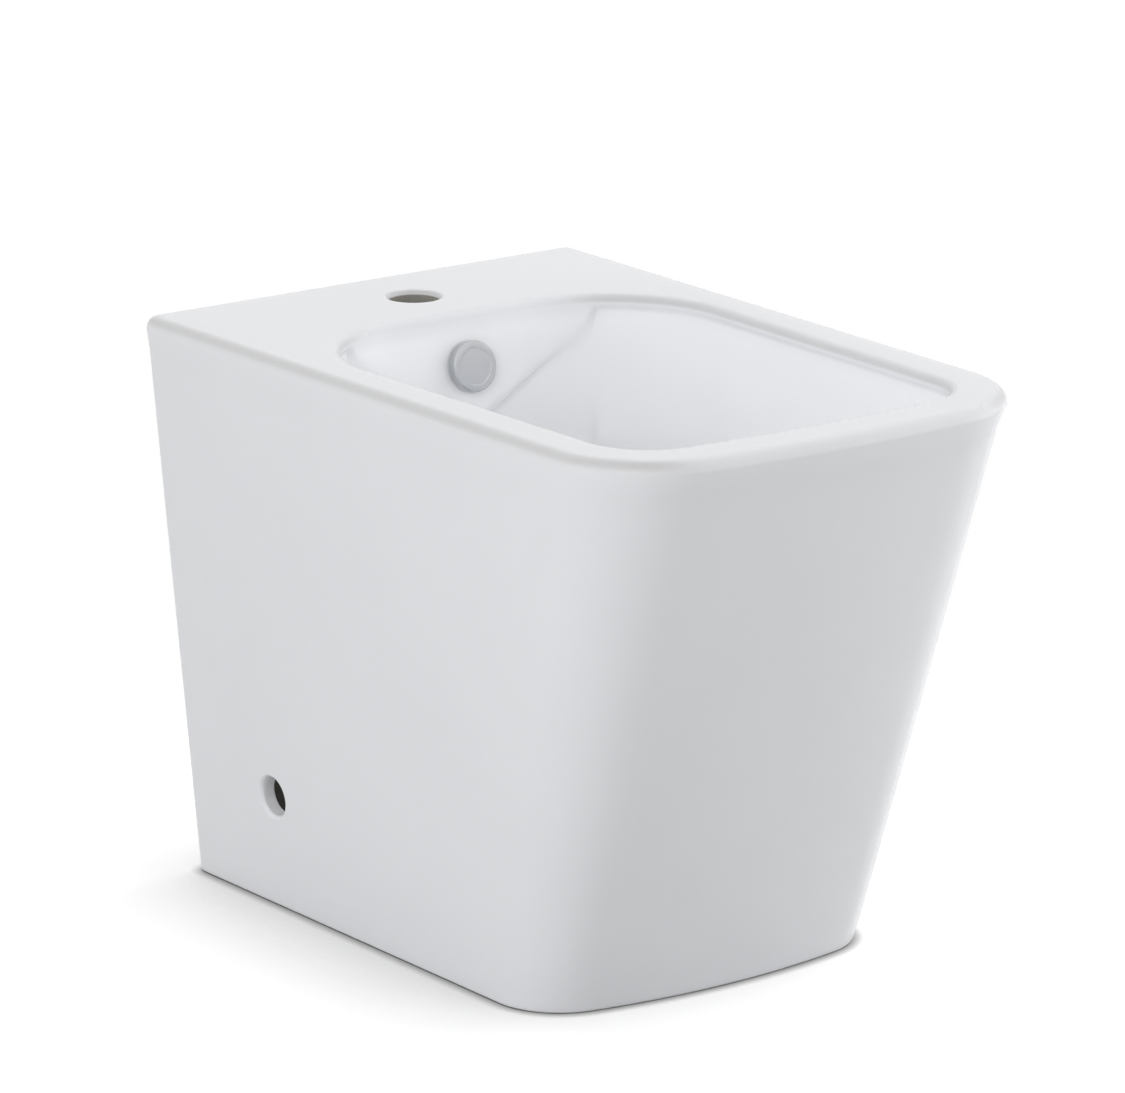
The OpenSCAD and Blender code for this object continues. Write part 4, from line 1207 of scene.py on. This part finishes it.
def waste_plug():
    """The domed plug, hollow underneath, with a skirt for its ring and a boss for the stem."""
    edge_r, top_z = PLUG_R - PLUG_EDGE_R, PLUG_LOW_Z + PLUG_EDGE_T + PLUG_DOME
    radius = bow_radius(edge_r, PLUG_DOME)
    turns = np.linspace(math.asin(edge_r / radius) * 0.985, 0, 16)
    dome = [(radius * math.sin(a), top_z - radius * (1 - math.cos(a))) for a in turns]
    bore_r, boss_z = STEM_R + FIT, PLUG_LOW_Z - PLUG_BOSS_H
    inner_r, skirt_z = SKIRT_R - SKIRT_T, PLUG_LOW_Z - SKIRT_H
    boss = [(0, STEM_TOP_Z), (bore_r, STEM_TOP_Z), (bore_r, boss_z), (PLUG_BOSS_R - 0.4, boss_z)]
    boss += [(PLUG_BOSS_R, boss_z + 0.4), (PLUG_BOSS_R, PLUG_LOW_Z)]
    skirt = [(inner_r, PLUG_LOW_Z), (inner_r, skirt_z), (SKIRT_R, skirt_z), (SKIRT_R, PLUG_LOW_Z)]
    edge = [(PLUG_R - 0.6, PLUG_LOW_Z), (PLUG_R, PLUG_LOW_Z + 0.6)]
    edge += arc(edge_r, PLUG_LOW_Z + 2.05, PLUG_EDGE_R, 0, 75)
    return turned("waste_plug", boss + skirt + edge + dome, 128)


# The pieces on their bodies

OVERFLOW = overflow_frame()
PIECES = {
    "ceramic_body": (casting, CHINA, "ceramic", "basin"),
    "overflow_seal": (overflow_seal, RUBBER, "rubber", "basin"),
    "overflow_insert": (overflow_insert, INSERT_PLASTIC, "insert_plastic", "basin"),
    "overflow_cap": (overflow_cap, CHROME, "chrome", "basin"),
    "waste_body": (waste_body, CHROME, "chrome", "basin"),
    "flange_gasket": (flange_gasket, RUBBER, "rubber", "basin"),
    "cone_gasket": (cone_gasket, RUBBER, "rubber", "basin"),
    "slip_washer": (slip_washer, WASHER_PLASTIC, "washer_plastic", "basin"),
    "back_nut": (back_nut, BRASS, "brass", "basin"),
    "tail_seal": (tail_seal, RUBBER, "rubber", "basin"),
    "tailpiece": (tailpiece, CHROME, "chrome", "basin"),
    "latch_cartridge": (latch_cartridge, LATCH_PLASTIC, "latch_plastic", "basin"),
    "latch_spring": (latch_spring, WIRE, "spring_steel", "basin"),
    "plug_stem": (plug_stem, BRASS, "brass", "plug"),
    "plug_seal": (plug_seal, RUBBER, "rubber", "plug"),
    "waste_plug": (waste_plug, CHROME, "chrome", "plug"),
}

for node, (make, material, slot, body) in PIECES.items():
    piece = make()
    if node.startswith("overflow"):
        placed(piece, *OVERFLOW)
    if node != "ceramic_body":
        sharpen(piece)
    piece.name = piece.data.name = "glazed_casting" if node == "ceramic_body" else "fine_" + node
    piece.data.materials.clear()
    piece.data.materials.append(material)
    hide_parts(node)
    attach(piece, body)
    if node == "latch_spring":
        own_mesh(piece)


# Studio, its places and sizes in metres

FLOOR_HALF, FLOOR_T = 9, 0.02
FLOOR_GLOW, AMBIENT = 0.68, 0.12
# Reach, depth and softness of the floor's painted shadow, and the reach of its painted contact line
SHADE_REACH, SHADE_LIMIT, SHADE_POWER, TOUCH_REACH = 0.14, 0.83, 0.40, 0.009
WHITE_FROM, WHITE_ALL = 0.45, 0.95
MIDDLE = (0, 0, 0.25)

# Place, width, height and watts of each soft lamp
LAMPS = {
    "front_left": ((-2.30, -1.93, 1.85), 1.6, 1.6, 33),
    "front_right": ((1.27, -2.72, 1.85), 1.6, 1.6, 13),
    "low_in_front": ((-2.19, -2.19, 0.85), 3.0, 1.5, 9),
    "low_on_the_left": ((-3.09, 0.27, 0.85), 3.0, 1.5, 25),
    "low_on_the_right": ((1.70, -0.70, 0.55), 1.0, 1.0, 16),
    "high_on_the_left": ((-2.26, 0.82, 2.65), 2.8, 2.8, 10),
    "high_on_the_right": ((2.40, 0.0, 2.65), 2.8, 2.8, 44),
    "high_behind": ((0.0, 2.40, 2.65), 2.8, 2.8, 37),
}
CAMERA_AT = (-2.6743, -3.5699, 1.4940)
CAMERA_TURN, CAMERA_RISE = math.radians(-36.57), math.radians(15.37)
SENSOR_W, LENS, CLIP_NEAR, CLIP_FAR = 36, 222.74, 0.1, 60


def floor():
    """A pale floor. The camera sees it white where it is lit, with a painted shadow near the object."""
    half, low = FLOOR_HALF / MM, -FLOOR_T / MM
    corners = ((-half, -half), (half, -half), (half, half), (-half, half))
    rings = [[(x, y, z) for x, y in corners] for z in (low, 0)]
    obj = loft("studio_floor", rings)
    return obj


def studio_floor(tree):
    # Matt white paper. To camera, mirror and glass rays it has some light of its own near the object, with
    # a painted shadow there from ambient occlusion and a painted contact line along the foot, and is plain
    # white further off.
    paper = add(tree, "ShaderNodeBsdfDiffuse", {"Color": paint("#BCBCBC")})
    glow = add(tree, "ShaderNodeEmission", {"Color": (1, 1, 1, 1), "Strength": FLOOR_GLOW})
    lit = add(tree, "ShaderNodeAddShader", {0: paper, 1: glow})
    light_side = add(tree, "ShaderNodeCombineXYZ", {"X": 0.4, "Y": -0.3, "Z": 0.85})
    # Painted shadow: occlusion toward the light side darkens the floor to the left and back of the object
    painted_shadow_ao = add(
        tree, "ShaderNodeAmbientOcclusion", {"Distance": SHADE_REACH, "Normal": light_side}, samples=8
    )
    reach = {"Value": painted_shadow_ao.outputs["AO"], "From Max": SHADE_LIMIT, "To Max": 1.0}
    shade = add(tree, "ShaderNodeMapRange", reach)
    # Painted shade: a dark contact line where the foot meets the floor
    painted_contact_shade = add(tree, "ShaderNodeAmbientOcclusion", {"Distance": TOUCH_REACH}, samples=8)
    eased = add(tree, "ShaderNodeMath", {0: shade, 1: SHADE_POWER}, operation="POWER")
    shade = add(tree, "ShaderNodeMath", {0: eased, 1: painted_contact_shade.outputs["AO"]}, operation="MULTIPLY")
    shaded = add(tree, "ShaderNodeMixShader", {0: shade, 2: lit})
    white = add(tree, "ShaderNodeEmission", {"Color": (1, 1, 1, 1), "Strength": 1.0})
    where = add(tree, "ShaderNodeTexCoord").outputs["Object"]
    away = add(tree, "ShaderNodeVectorMath", {0: where}, operation="LENGTH").outputs["Value"]
    span = {"Value": away, "From Min": WHITE_FROM, "From Max": WHITE_ALL}
    fade = add(tree, "ShaderNodeMapRange", span, interpolation_type="SMOOTHSTEP")
    shown = add(tree, "ShaderNodeMixShader", {0: fade, 1: shaded, 2: white})
    return add(tree, "ShaderNodeMixShader", {0: seen_ray(tree), 1: paper, 2: shown})


def seen_ray(tree):
    """One for camera, mirror and glass rays."""
    path = add(tree, "ShaderNodeLightPath")
    seen = path.outputs["Is Camera Ray"]
    for kind in ("Is Glossy Ray", "Is Transmission Ray"):
        seen = add(tree, "ShaderNodeMath", {0: seen, 1: path.outputs[kind]}, operation="MAXIMUM")
    return seen


def studio_world():
    world = bpy.data.worlds.new("studio")
    bpy.context.scene.world = world
    world.use_nodes = True
    tree = world.node_tree
    tree.nodes.clear()
    soft = add(tree, "ShaderNodeBackground", {"Color": (1, 1, 1, 1), "Strength": AMBIENT})
    white = add(tree, "ShaderNodeBackground", {"Color": (1, 1, 1, 1), "Strength": 1.0})
    mixed = add(tree, "ShaderNodeMixShader", {0: seen_ray(tree), 1: soft, 2: white})
    add(tree, "ShaderNodeOutputWorld", {"Surface": mixed})


def softbox(name, at, aim, width, height, power):
    """A soft rectangular lamp, turned to its aim. The glaze mirrors the white room and not the lamps."""
    lamp = bpy.data.lights.new(name, "AREA")
    lamp.shape, lamp.size, lamp.size_y, lamp.energy = "RECTANGLE", width, height, power
    obj = bpy.data.objects.new(name, lamp)
    obj.location = at
    obj.rotation_mode = "QUATERNION"
    obj.rotation_quaternion = (Vector(at) - Vector(aim)).to_track_quat("Z", "Y")
    obj.visible_glossy = False
    bpy.context.scene.collection.objects.link(obj)


floor().data.materials.append(finish("white_paper", studio_floor))
studio_world()
for name, (at, width, height, power) in LAMPS.items():
    softbox(name, at, MIDDLE, width, height, power)

camera = bpy.data.objects.new("camera", bpy.data.cameras.new("camera"))
camera.data.sensor_width, camera.data.lens = SENSOR_W, LENS
camera.data.clip_start, camera.data.clip_end = CLIP_NEAR, CLIP_FAR
across = math.cos(CAMERA_RISE)
back = Vector((math.sin(CAMERA_TURN) * across, -math.cos(CAMERA_TURN) * across, math.sin(CAMERA_RISE)))
camera.location = CAMERA_AT
camera.rotation_mode = "QUATERNION"
camera.rotation_quaternion = back.to_track_quat("Z", "Y")
bpy.context.scene.collection.objects.link(camera)
bpy.context.scene.camera = camera
bpy.context.scene.view_settings.view_transform = "Standard"
